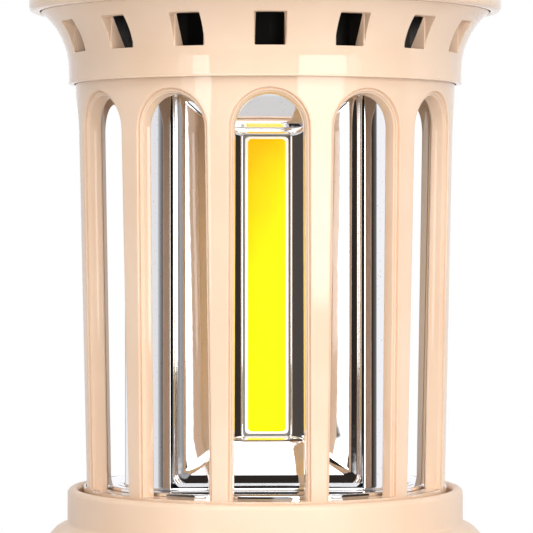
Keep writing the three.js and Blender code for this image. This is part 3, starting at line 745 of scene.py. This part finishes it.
def dish_loops():
    """From the rounded lip of a dish, over its bevelled edge and down its hopper to the light strip."""
    w, h = DISH_HALF
    lip = [  # growth of the dish's outline, distance from the axis, corner radius
        (DISH_LIP, FACE, 2.7), (2.55, FACE - 0.01, 2.6), (2.42, FACE - 0.06, 2.5),
        (2.34, FACE - 0.16, 2.45), (2.3, FACE - 0.4, 2.4), (2.2, FACE - 0.9, 2.3),
        (2.0, DISH_EDGE + 0.5, 2.1), (1.9, DISH_EDGE + 0.3, 2.0), (1.7, DISH_EDGE + 0.21, 1.85),
        (1.5, DISH_EDGE + 0.2, 1.75), (1.2, DISH_EDGE + 0.19, 1.6), (0.9, DISH_EDGE + 0.165, 1.5),
        (0.6, DISH_EDGE + 0.125, 1.3), (0.3, DISH_EDGE + 0.07, 1.1), (0.05, DISH_EDGE + 0.01, 1.0),
        (0.0, DISH_EDGE, 1.0),
    ]
    hopper = [  # reach below and above the middle, distance from the axis, corner radius
        (40.27, 40.27, 20.78, 1.2), (39.9, 39.9, 20.56, 1.5), (38.0, 38.0, 19.4, 1.6),
        (36.25, 36.25, 18.33, 1.6), (36.05, 36.1, 18.2, 1.6), (35.1, 35.2, 17.6, 1.5),
        (34.2, 34.6, 17.0, 1.4), (33.5, 34.3, 16.6, 1.3), (33.3, 34.1, 16.4, 1.2),
        (33.0, 33.9, 16.1, 1.0), (32.8, 33.2, 15.6, 0.9), (32.7, 32.8, 15.2, 0.7),
        (32.6, 32.6, 14.8, 0.6), (32.5, 32.5, 14.55, 0.5), (32.45, 32.45, 14.45, 0.5),
        (32.45, 32.45, 13.0, 0.5),
    ]
    loops = [rounded_rectangle(w + growth, h + growth, corner, n) for growth, n, corner in lip]
    for below, above, n, corner in hopper:
        share = min(max(n - WINDOW, 0) / (DISH_EDGE - WINDOW), 1)
        bulge = 0.084 * share * (1 - share)
        half_width = STRIP_HALF_WIDTH + (w - STRIP_HALF_WIDTH) * (share - bulge)
        loops.append(rounded_rectangle(half_width, (below, above), corner, n))
    return loops


def face_edge(point):
    """The point on the edge of a flat side that a point of its dish's lip is joined to."""
    half_width = DISH_HALF[0] + DISH_LIP
    half_height = DISH_HALF[1] + DISH_LIP
    t, z = point.x, point.z - DISH_MIDDLE
    if abs(t) / half_width >= abs(z) / half_height:
        return Vector((math.copysign(FLAT_HALF, t), -FACE, min(max(point.z, FACE_BOTTOM), REFLECTOR_TOP)))
    return Vector((t * FLAT_HALF / half_width, -FACE, REFLECTOR_TOP if z > 0 else FACE_BOTTOM))


def corner_loop(offset, z):
    """The outline of a round corner at one height, moved outwards by an offset."""
    outline = corner_outline()
    points = []
    for k, (x, y) in enumerate(outline):
        before = Vector(outline[max(k - 1, 0)])
        after = Vector(outline[min(k + 1, len(outline) - 1)])
        along = (after - before).normalized()
        points.append(Vector((x + along.y * offset, y - along.x * offset, z)))
    return points


def flat_row(offset, z, steps=8):
    """Points across a flat side at one height, moved outwards by an offset."""
    return [Vector((FLAT_HALF * (2 * i / steps - 1), -FACE - offset, z)) for i in range(steps + 1)]


def make_reflector():
    """Three dished sides between round corners, on a cove and a round floor."""
    shell = Shell()
    loops = dish_loops()
    shell.loft(loops)
    shell.loft([[face_edge(p) for p in loops[0]], loops[0]])
    foot = REFLECTOR_BOTTOM + 0.05
    cove = fillet([(0, REFLECTOR_TOP), (0, foot), (1.5, foot)], 1.4, 6)[::-1]
    shell.loft([corner_loop(offset, z) for offset, z in cove], ring=False)
    shell.loft([flat_row(offset, z) for offset, z in cove if z <= FACE_BOTTOM + 1e-6], ring=False)
    shell.repeat(3)
    floor = [
        (0, REFLECTOR_BOTTOM),
        (FLOOR_RADIUS, REFLECTOR_BOTTOM),
        (FLOOR_RADIUS, FLOOR_BOTTOM),
        (0, FLOOR_BOTTOM),
    ]
    shell.revolve(fillet(floor, [0.3, 0.2], 4)[::-1])
    finish_mesh("reflector_body", shell, "chrome_plated", stands_for=["reflector"])


def strip_base_shell():
    """A white board with a raised, rounded dam along its edge."""
    rows = [
        (4.68, 32.0, 0.9, STRIP_FACE - 0.9), (4.68, 32.0, 0.9, STRIP_FACE + 0.1),
        (4.62, 31.94, 0.9, STRIP_FACE + 0.25), (4.48, 31.84, 0.9, STRIP_FACE + 0.34),
        (4.25, 31.7, 0.9, STRIP_FACE + 0.34), (4.06, 31.5, 0.9, STRIP_FACE + 0.24),
    ]
    return Shell().loft(rectangle_loops(rows))


def strip_glow_shell():
    """A gently crowned bar of phosphor inside the dam."""
    rows = [
        (4.1, 31.5, 0.9, STRIP_FACE + 0.22),
        (3.9, 31.3, 0.85, STRIP_FACE + 0.3),
        (3.4, 30.8, 0.6, STRIP_FACE + 0.36),
        (2.0, 29.4, 0.3, STRIP_FACE + 0.4),
    ]
    loops = rectangle_loops(rows)
    return Shell().loft(loops).cap(loops[-1])


def make_strips():
    """Three light strips, one on each side."""
    for k in range(3):
        angle = 2 * math.pi * k / 3
        base = strip_base_shell().turn(angle)
        glow = strip_glow_shell().turn(angle)
        finish_mesh(f"strip_base_{k + 1}", base, "strip_white", stands_for=[f"strip_board_{k + 1}"])
        finish_mesh(f"strip_glow_{k + 1}", glow, "phosphor", stands_for=[f"strip_phosphor_{k + 1}"])


# ---- Base ----
def window_outline(margin):
    """The charge window's outline, grown by a margin."""
    return vent_outline(4.3 + margin, 15 - margin, 18 + margin, 1.1 + margin, up=1)


def pocket_outline(margin):
    """The outline of the charging port's pocket, grown by a margin."""
    return vent_outline(7.5 + margin, 10.2 - margin, 19.2 + margin, 1.2 + margin, across=16)


def wall_loop(outline, depth):
    """An outline laid on the base's wall, sunk by a depth."""
    return [Vector((t, depth - math.sqrt(WALL_RADIUS**2 - t**2), z)) for t, z in outline]


def flat_loop(outline, near):
    """An outline in a plane facing the front."""
    return [Vector((t, -near, z)) for t, z in outline]


def button_circle(radius, x):
    """A circle round the middle of a button."""
    return circle(radius, x, BUTTON_HEIGHT)


def base_front():
    """The front half of the wall, with two button holes in shallow dishes and the charge window's frame."""
    shell = Shell()
    sides = [-BUTTON_OFFSET, BUTTON_OFFSET]
    holes = [[button_circle(BUTTON_DISH + 0.35, x), button_circle(BUTTON_DISH, x)] for x in sides]
    holes.append([window_outline(0.9), window_outline(0.5)])
    pierced_wall(shell, lambda z: WALL_RADIUS, math.pi / 2, WALL_ROWS, holes, columns=ROUND // 2)
    dish = [  # radius, depth
        (BUTTON_DISH, 0), (6.34, 0.05), (6.2, 0.3), (6.05, 0.42), (5.1, 0.42), (4.9, 0.5),
        (4.8, 0.7), (4.8, 2.2),
    ]
    for x in sides:
        shell.loft([wall_loop(button_circle(radius, x), depth) for radius, depth in dish])
    window_frame = [(0.5, 0), (0.42, -0.12), (0.3, -0.18), (0.15, -0.16), (0.04, 0), (0, 0.15), (0, 2.2)]
    shell.loft([wall_loop(window_outline(margin), depth) for margin, depth in window_frame])
    return shell


def base_rear():
    """The rear half of the wall, with the port's pocket and slot; drawn at the front, then turned."""
    shell = Shell()
    hole = [pocket_outline(0.5), pocket_outline(0.25)]
    pierced_wall(shell, lambda z: WALL_RADIUS, math.pi / 2, WALL_ROWS, [hole], columns=ROUND // 2)
    lip = [(0.25, 0), (0.14, 0.03), (0.04, 0.12), (0, 0.3)]
    pocket = [wall_loop(pocket_outline(margin), depth) for margin, depth in lip]
    pocket.append(flat_loop(pocket_outline(0), POCKET_FLOOR + 0.2))
    pocket.append(flat_loop(pocket_outline(-0.2), POCKET_FLOOR))
    slot = [
        (7.3, 4.3, 1.0, POCKET_FLOOR),
        (5.3, 2.5, 1.3, POCKET_FLOOR),
        (5.05, 2.25, 1.2, POCKET_FLOOR - 0.2),
        (5, 2.2, 1.2, 44.6),
    ]
    shell.loft(pocket)
    shell.loft(rectangle_loops(slot, PORT_HEIGHT))
    return shell.turn(math.pi)


def make_base():
    """The base's housing: a collar on a round shoulder, the wall, and a plinth."""
    upper = [
        (COLLAR_RADIUS - 4.2, COLLAR_FLOOR), (COLLAR_BORE, COLLAR_FLOOR), (COLLAR_BORE, COLLAR_TOP),
        (COLLAR_RADIUS, COLLAR_TOP), (COLLAR_RADIUS, 31.4), (45.9, 30.3), (WALL_RADIUS, 26.4),
        (WALL_RADIUS, WALL_ROWS[-1]),
    ]
    lower = [
        (WALL_RADIUS, WALL_ROWS[0]), (WALL_RADIUS, 8.6), (PLINTH_RADIUS, 7.6),
        (PLINTH_RADIUS, PLINTH_BOTTOM), (PLINTH_BORE, PLINTH_BOTTOM), (PLINTH_BORE, 4.6),
    ]
    shell = Shell()
    shell.revolve(fillet(upper, [0.4, 1.15, 1.2, 0.6, 3.5, 3.2], 8)[::-1])
    shell.revolve(fillet(lower, [0.5, 0.9, 0.7, 0.3], 8)[::-1])
    shell.join(base_front())
    shell.join(base_rear())
    finish_mesh("base_body", shell, "beige_plastic", stands_for=["base_housing"], material=SATIN)


def plate(shell, outline):
    """A flat symbol raised from a button's face."""
    front = flat_loop(outline, SYMBOL_FACE)
    shell.loft([flat_loop(outline, SYMBOL_ROOT), front]).cap(front)


def lamp_symbol():
    """A small sun: a disc and eight rays."""
    shell = Shell()
    plate(shell, circle(0.8, steps=24))
    ray = [(1.25, -0.14), (2.0, -0.14), (2.0, 0.14), (1.25, 0.14)]
    for k in range(8):
        a = math.pi * k / 4
        plate(shell, [(x * math.cos(a) - z * math.sin(a), x * math.sin(a) + z * math.cos(a)) for x, z in ray])
    return shell


def zapper_symbol():
    """A lightning bolt."""
    shell = Shell()
    plate(shell, [(0.55, 2.2), (-1.2, -0.3), (-0.15, -0.3), (-0.55, -2.2), (1.2, 0.3), (0.15, 0.3)])
    return shell


def button_shell(x):
    """A round button with a dished face, a soft edge, a flange behind the wall and a stem to its switch."""
    section = [  # radius, distance from the lamp's axis
        (0, 49.72), (2.4, 49.76), (3.4, 49.86), (3.9, 49.97), (4.15, 50.0), (4.35, 49.93),
        (4.46, 49.75), (4.5, 49.4), (4.5, 44.2), (5.4, 44.2), (5.5, 44.0), (5.5, 43.3), (1.8, 43.2),
        (1.8, 42.65), (0, 42.6),
    ]
    shell = Shell().revolve([(r, -n) for r, n in reversed(section)], SMALL_ROUND)
    return shell.place(lambda v: (x + v.y, v.z, BUTTON_HEIGHT + v.x))


def make_buttons():
    """Two round buttons, each with its symbol."""
    buttons = [("lamp", -BUTTON_OFFSET, lamp_symbol()), ("zapper", BUTTON_OFFSET, zapper_symbol())]
    for name, x, symbol in buttons:
        body = f"{name}_button"
        finish_mesh(f"{name}_cap", button_shell(x), "black_plastic", body, stands_for=[body])
        symbol.place(lambda v: (x + v.x, v.y, BUTTON_HEIGHT + v.z))
        finish_mesh(f"{name}_symbol", symbol, "strip_white", body)


def make_charge_window():
    """A clear lens with eased edges behind its frame."""
    rows = [(-0.55, 49.58), (-0.38, 49.6), (-0.3, 49.5), (-0.3, 46.9), (-0.4, 46.8)]
    loops = [flat_loop(window_outline(margin), n) for margin, n in rows]
    shell = Shell().cap(loops[0]).loft(loops[::-1]).cap(loops[-1][::-1])
    finish_mesh("charge_lens", shell, "clear_lens", stands_for=["charge_window"])


def make_port_cover():
    """A silicone flap with a dished middle, two grip ridges and a plug; drawn in front, then turned."""
    flap = [
        (6.9, 3.9, 1.0, 48.2), (7.1, 4.1, 1.2, 48.35), (7.1, 4.1, 1.2, 49.3),
        (7.0, 4.0, 1.1, 49.55), (6.8, 3.8, 1.0, 49.68), (6.5, 3.5, 0.9, 49.7),
        (5.9, 2.9, 0.8, 49.5), (5.6, 2.6, 0.7, 49.45),
    ]
    plug = [(3.4, 1.2, 0.8, 48.3), (3.4, 1.2, 0.8, 47.1), (3.2, 1.0, 0.7, 46.9)]
    ridge = [
        (2.3, 0.34, 0.3, 49.4), (2.45, 0.36, 0.34, 50.2),
        (2.3, 0.26, 0.24, 50.5), (2.1, 0.1, 0.08, 50.58),
    ]
    loops = rectangle_loops(flap, FLAP_HEIGHT)
    shell = Shell().cap(loops[0][::-1]).loft(loops).cap(loops[-1])
    loops = rectangle_loops(plug, FLAP_HEIGHT)
    shell.loft(loops[::-1]).cap(loops[-1][::-1])
    for z in (17.45, 18.25):
        loops = rectangle_loops(ridge, z)
        shell.loft(loops).cap(loops[-1])
    finish_mesh("port_flap", shell.turn(math.pi), "rubber_dark", "port_cover", stands_for=["port_cover"])


# ---- Rim, lid and handle ----
def eye(low, seam, high, radii):
    """A round eye for the handle's pin, between two distances from the middle; the seam is in its bore."""
    section = [
        (PIN_RADIUS, seam), (PIN_RADIUS, low), (EYE_RADIUS, low), (EYE_RADIUS, high),
        (PIN_RADIUS, high), (PIN_RADIUS, seam),
    ]
    return Shell().revolve(fillet(section, radii), SMALL_ROUND).place(along_x)


def along_x(v):
    """Where a point revolved about Z goes when its axis is laid along the pivots."""
    return (v.z, v.x, PIVOT_HEIGHT + v.y)


def make_rim():
    """The overhanging rim with a recess for the crown, a ledge for the lid and an ear for each pin."""
    seat_radius, seat_height = RIM_SEAT
    profile = [
        (seat_radius, seat_height), (seat_radius, RIM_BOTTOM), (RIM_RADIUS, RIM_BOTTOM),
        (RIM_RADIUS, 152.2), (46.0, 152.6), (46.0, 150.3), (RIM_BORE, 150.3),
        (RIM_BORE, seat_height),
    ]
    shell = Shell()
    shell.revolve(fillet(profile, [0.35, 1.7, 1.2, 0.4, 0.2, 0.3], 7))
    shell.revolve([(RIM_BORE, seat_height), (seat_radius, seat_height)])
    for angle in (0, math.pi):
        shell.join(eye(*RIM_EAR, [0.2, 0.6, 0.6, 0.3]).turn(angle))
    finish_mesh("rim_body", shell, "beige_plastic", stands_for=["rim_ring"])


def make_lid():
    """A domed lid with a stepped edge, a shallow ring groove and a foot ring under its knob."""
    bore = 1.6
    outside = [
        (41.9, 147.6), (43.2, 147.6), (43.2, 151.8), (45.7, 151.8), (45.7, 154.0), (44.2, 155.0),
        (42.9, 155.55), (42.5, 156.1), (36.0, 159.5), (26.0, 165.0), (12.0, 168.05), (9.0, 168.35),
        (8.4, 168.75), (bore, 168.75),
    ]
    radii = [0.3, 0.3, 0.3, 1.1, 1.0, 0.5, 0.5, 30, 40, 25, 0.4, 0.4]
    underside = [(bore, 165.9), (22.0, 163.6), (34.0, 157.6), (41.7, 152.6), (41.7, 147.8)]
    shell = Shell()
    shell.revolve(fillet(outside, radii, 6))
    shell.revolve(fillet(underside, [20, 20, 0.6], 6) + [outside[0]])
    shell.revolve([outside[-1], underside[0]])
    finish_mesh("lid_dome", shell, "beige_plastic", "lid", stands_for=["lid"])


def make_knob():
    """A turned knob with a waisted neck and a dimple on top."""
    outline = [
        (0, 168.85), (6.0, 168.85), (5.6, 169.6), (4.6, 170.7), (4.6, 171.5), (8.3, 172.9),
        (9.0, 174.6), (7.6, 176.4), (4.6, 177.2), (3.4, 177.35), (2.6, 176.9), (0, 176.8),
    ]
    radii = [0.2, 0.5, 0.8, 0.8, 0.9, 1.6, 2.5, 0.6, 0.4, 0.8]
    shell = Shell().revolve(fillet(outline, radii), segments=96)
    finish_mesh("knob_turned", shell, "beige_plastic", "lid", stands_for=["lid_knob"])


def bail_line(steps=28):
    """The handle's centre line over the pivots, from right to left, as (x, z, normal x, normal z)."""
    middle_x, middle_z, rx, rz = SHOULDER
    line = [(BAIL_HALF, 4.0 + 4 * i, 1, 0) for i in range(4)]
    for i in range(steps + 1):
        a = math.pi / 2 * i / steps
        normal = Vector((math.cos(a) / rx, math.sin(a) / rz)).normalized()
        line.append((middle_x + rx * math.cos(a), middle_z + rz * math.sin(a), normal.x, normal.y))
    return line + [(-x, z, -nx, nz) for x, z, nx, nz in reversed(line)]


def bail_shell():
    """A flat bail with eased edges and a shallow groove outside, and a round eye at each end."""
    section = [
        (-1.6, -3.3), (-1.3, -3.85), (-0.7, -4.0), (0.7, -4.0), (1.3, -3.85), (1.6, -3.3),
        (1.6, -2.5), (1.3, -2.1),
    ]
    section += [(n, -y) for n, y in reversed(section)]
    shell = Shell().loft([
        [Vector((x + nx * n, y, PIVOT_HEIGHT + z + nz * n)) for n, y in section]
        for x, z, nx, nz in bail_line()
    ])
    for side in (-1, 1):
        leg = side * BAIL_HALF
        shell.join(eye(leg - 1.6, leg, leg + 1.6, [0.3, 0.7, 0.7, 0.3]))
    return shell


def grip_shell():
    """A ribbed sleeve over the top of the bail."""
    r = GRIP_RADIUS
    end = [(1.5, -21.9), (3.6, -21.9), (4.1, -21.6), (r, -21.0), (r, -19.6)]
    outline = list(end)
    for i in range(GRIP_RIBS):
        x = 3 * (i - (GRIP_RIBS - 1) / 2)
        outline += [(r, x - 0.9), (4.2, x - 0.6), (4.0, x - 0.45)]
        outline += [(4.0, x + 0.45), (4.2, x + 0.6), (r, x + 0.9)]
    outline += [(radius, -x) for radius, x in reversed(end)]
    rise = Vector((0, SHOULDER[1] + SHOULDER[3], 0))
    return Shell().revolve(outline, SMALL_ROUND).place(lambda v: along_x(v + rise))


def make_handle():
    """The bail and its grip."""
    finish_mesh("handle_bail", bail_shell(), "beige_plastic", "handle", stands_for=["handle"])
    finish_mesh("handle_grip", grip_shell(), "beige_plastic", "handle", stands_for=["handle"], material=SATIN)


def carry_over():
    """CAD nodes that stay as they are get a small bevel and their material."""
    finishes = {row["node"]: row["material_slot"] for row in frame["record"]["subparts"]}
    for name, node in frame["nodes"].items():
        if node.hide_render:
            continue
        node.data.materials.clear()
        node.data.materials.append(LOOKS[finishes[name]])
        bevel = node.modifiers.new("edge", "BEVEL")
        bevel.width = 0.15 * MM
        bevel.segments = 2
        bevel.limit_method = "ANGLE"
        bevel.angle_limit = math.radians(35)


# ---- Studio ----
# Camera, in millimetres
EYE_HEIGHT = 98.7
DISTANCE = 643.7
AIM_DROP = 11.3  # how far below eye level the middle of the picture is, at the axis
AIM_RIGHT = 0.29
VIEW_TURN = math.radians(1.33)
FOCAL_LENGTH = 197.6
SENSOR_WIDTH = 36

# Room, in metres
LIT_HEIGHT = 0.09  # the height that the lights aim at
FLOOR_SIZE = 0.9
FLOOR_FADE = (0.32, 0.42)  # radii between which the floor fades out
ROOM_DIM = 0.55  # share of the room's light that matt surfaces go without
CEILING = (0.22, 0.22, 0.22, 1)
CEILING_START = (0.45, 0.8)  # heights of a direction between which the room turns into the ceiling


def make_camera():
    """A long lens level with the cage, a little to the left of the front."""
    data = bpy.data.cameras.new("camera")
    data.lens = FOCAL_LENGTH
    data.sensor_width = SENSOR_WIDTH
    data.clip_start = 0.05
    camera = bpy.data.objects.new("camera", data)
    bpy.context.scene.collection.objects.link(camera)
    place = turned([Vector((0, -DISTANCE, EYE_HEIGHT))], -VIEW_TURN)[0]
    right = Vector((math.cos(VIEW_TURN), -math.sin(VIEW_TURN), 0))
    aim = Vector((0, 0, EYE_HEIGHT - AIM_DROP)) + right * AIM_RIGHT
    camera.location = place * MM
    camera.rotation_euler = (aim - place).to_track_quat("-Z", "Y").to_euler()
    bpy.context.scene.camera = camera


def softbox(name, azimuth, elevation, distance, size, power, shape="RECTANGLE"):
    """A soft light facing the object, in metres and watts; azimuth 0 is the front, positive to the right."""
    data = bpy.data.lights.new(name, "AREA")
    data.shape = shape
    data.size, data.size_y = size
    data.energy = power
    light = bpy.data.objects.new(name, data)
    a, e = math.radians(azimuth), math.radians(elevation)
    light.location = (
        distance * math.sin(a) * math.cos(e),
        -distance * math.cos(a) * math.cos(e),
        LIT_HEIGHT + distance * math.sin(e),
    )
    light.rotation_euler = (Vector((0, 0, LIT_HEIGHT)) - light.location).to_track_quat("-Z", "Y").to_euler()
    bpy.context.scene.collection.objects.link(light)
    return light


STUDIO = [  # brightness of the room at an azimuth from the front, in degrees, positive to the right
    (-180, 1.0), (-92, 0.85), (-88, 0.55), (-80, 0.38), (-72, 0.12), (-54, 0.08), (-42, 0.02),
    (3.5, 0.03), (5, 0.4), (16, 0.35), (20, 0.04), (76, 0.04), (80, 0.12), (85, 0.14), (90, 0.3),
    (94, 1.0), (180, 1.0),
]


def room_direction(tree):
    """Where a ray into the room points: its azimuth from the front, in radians, and its height."""
    place = add_node(tree, "TexCoord").outputs["Generated"]
    split = add_node(tree, "SeparateXYZ", Vector=place)
    ahead = math_node(tree, "MULTIPLY", split.outputs["Y"], -1)
    return math_node(tree, "ARCTAN2", split.outputs["X"], ahead), split.outputs["Z"]


def room_walls(tree, azimuth):
    """The room's brightness all round; its darkest parts are warm."""
    ramp = add_node(tree, "ValToRGB", Fac=range_node(tree, azimuth, (-math.pi, math.pi), (0, 1)))
    stops = ramp.color_ramp.elements
    while len(stops) < len(STUDIO):
        stops.new(0.5)
    for stop, (angle, level) in zip(stops, STUDIO):
        stop.position = (angle + 180) / 360
        warm = max(0.0, 1 - level / 0.3)
        stop.color = (level, level * (1 - 0.22 * warm), level * (1.02 - 0.38 * warm), 1)
    return ramp.outputs["Color"]


def make_world():
    """White to the camera; to other rays a room that is white behind the object and dark before it.

    Matt surfaces get less light from the room than its reflections show.
    """
    world = bpy.data.worlds.new("studio")
    bpy.context.scene.world = world
    world.use_nodes = True
    tree = world.node_tree
    tree.nodes.clear()
    azimuth, height = room_direction(tree)
    overhead = range_node(tree, height, CEILING_START, (0, 1), "SMOOTHSTEP")
    tint = mix_node(tree, overhead, room_walls(tree, azimuth), CEILING)
    ray = add_node(tree, "LightPath")
    strength = math_node(tree, "MULTIPLY_ADD", ray.outputs["Is Diffuse Ray"], -ROOM_DIM, 1)
    room = add_node(tree, "Background", Color=tint, Strength=strength)
    white = add_node(tree, "Background", Color=(1, 1, 1, 1))
    choice = add_node(tree, "MixShader", Fac=ray.outputs["Is Camera Ray"])
    feed(tree, choice.inputs[1], room.outputs["Background"])
    feed(tree, choice.inputs[2], white.outputs["Background"])
    add_node(tree, "OutputWorld", Surface=choice.outputs["Shader"])


def floor_white():
    """Pale paper that fades out round a point in front of the object."""
    look = Look("floor_white")
    paper = look.blend(look.noise(60, 3), (0.74, 0.74, 0.75, 1), (0.7, 0.7, 0.71, 1))
    look.set(Base_Color=paper, Roughness=0.6)
    ahead = add_node(look.tree, "VectorMath")
    feed(look.tree, ahead.inputs[0], look.place)
    feed(look.tree, ahead.inputs[1], (0, 0.2, 0))
    length = add_node(look.tree, "VectorMath")
    length.operation = "LENGTH"
    feed(look.tree, length.inputs[0], ahead.outputs["Vector"])
    return look.set(Alpha=look.spread(length.outputs["Value"], 1, 0, *FLOOR_FADE)).material


def make_floor():
    """A pale round floor that fades into the white ground."""
    mesh = bpy.data.meshes.new("floor")
    edge = [(x, y, 0) for x, y in circle(FLOOR_SIZE, steps=96)]
    mesh.from_pydata(edge, [], [tuple(range(len(edge)))])
    floor = bpy.data.objects.new("floor", mesh)
    bpy.context.scene.collection.objects.link(floor)
    mesh.materials.append(floor_white())


def make_lights():
    """Two tall softboxes, a dimmer one beyond each, a box above the camera, and two unmirrored fills."""
    softbox("key_right", 31.4, 14, 1.1, (0.55, 0.72), 5.9)
    softbox("edge_right", 49.3, 13, 1.1, (0.2, 0.8), 0.6, "ELLIPSE")
    softbox("key_left", -37.6, 14, 1.1, (0.19, 0.72), 1.9)
    softbox("edge_left", -46.9, 13, 1.1, (0.2, 0.8), 0.6, "ELLIPSE")
    softbox("front_top", 0, 58, 1.0, (1.2, 0.7), 6.9)
    for name, azimuth, elevation, power in (("front_fill", 0, -4, 3.1), ("back_fill", 180, 35, 1.6)):
        softbox(name, azimuth, elevation, 1.0, (0.5, 0.5), power).visible_glossy = False


make_camera()
make_world()
make_floor()
make_lights()
make_cage()
make_crown()
make_reflector()
make_strips()
make_base()
make_buttons()
make_charge_window()
make_port_cover()
make_rim()
make_lid()
make_knob()
make_handle()
carry_over()

view = bpy.context.scene.view_settings
view.view_transform = "Standard"
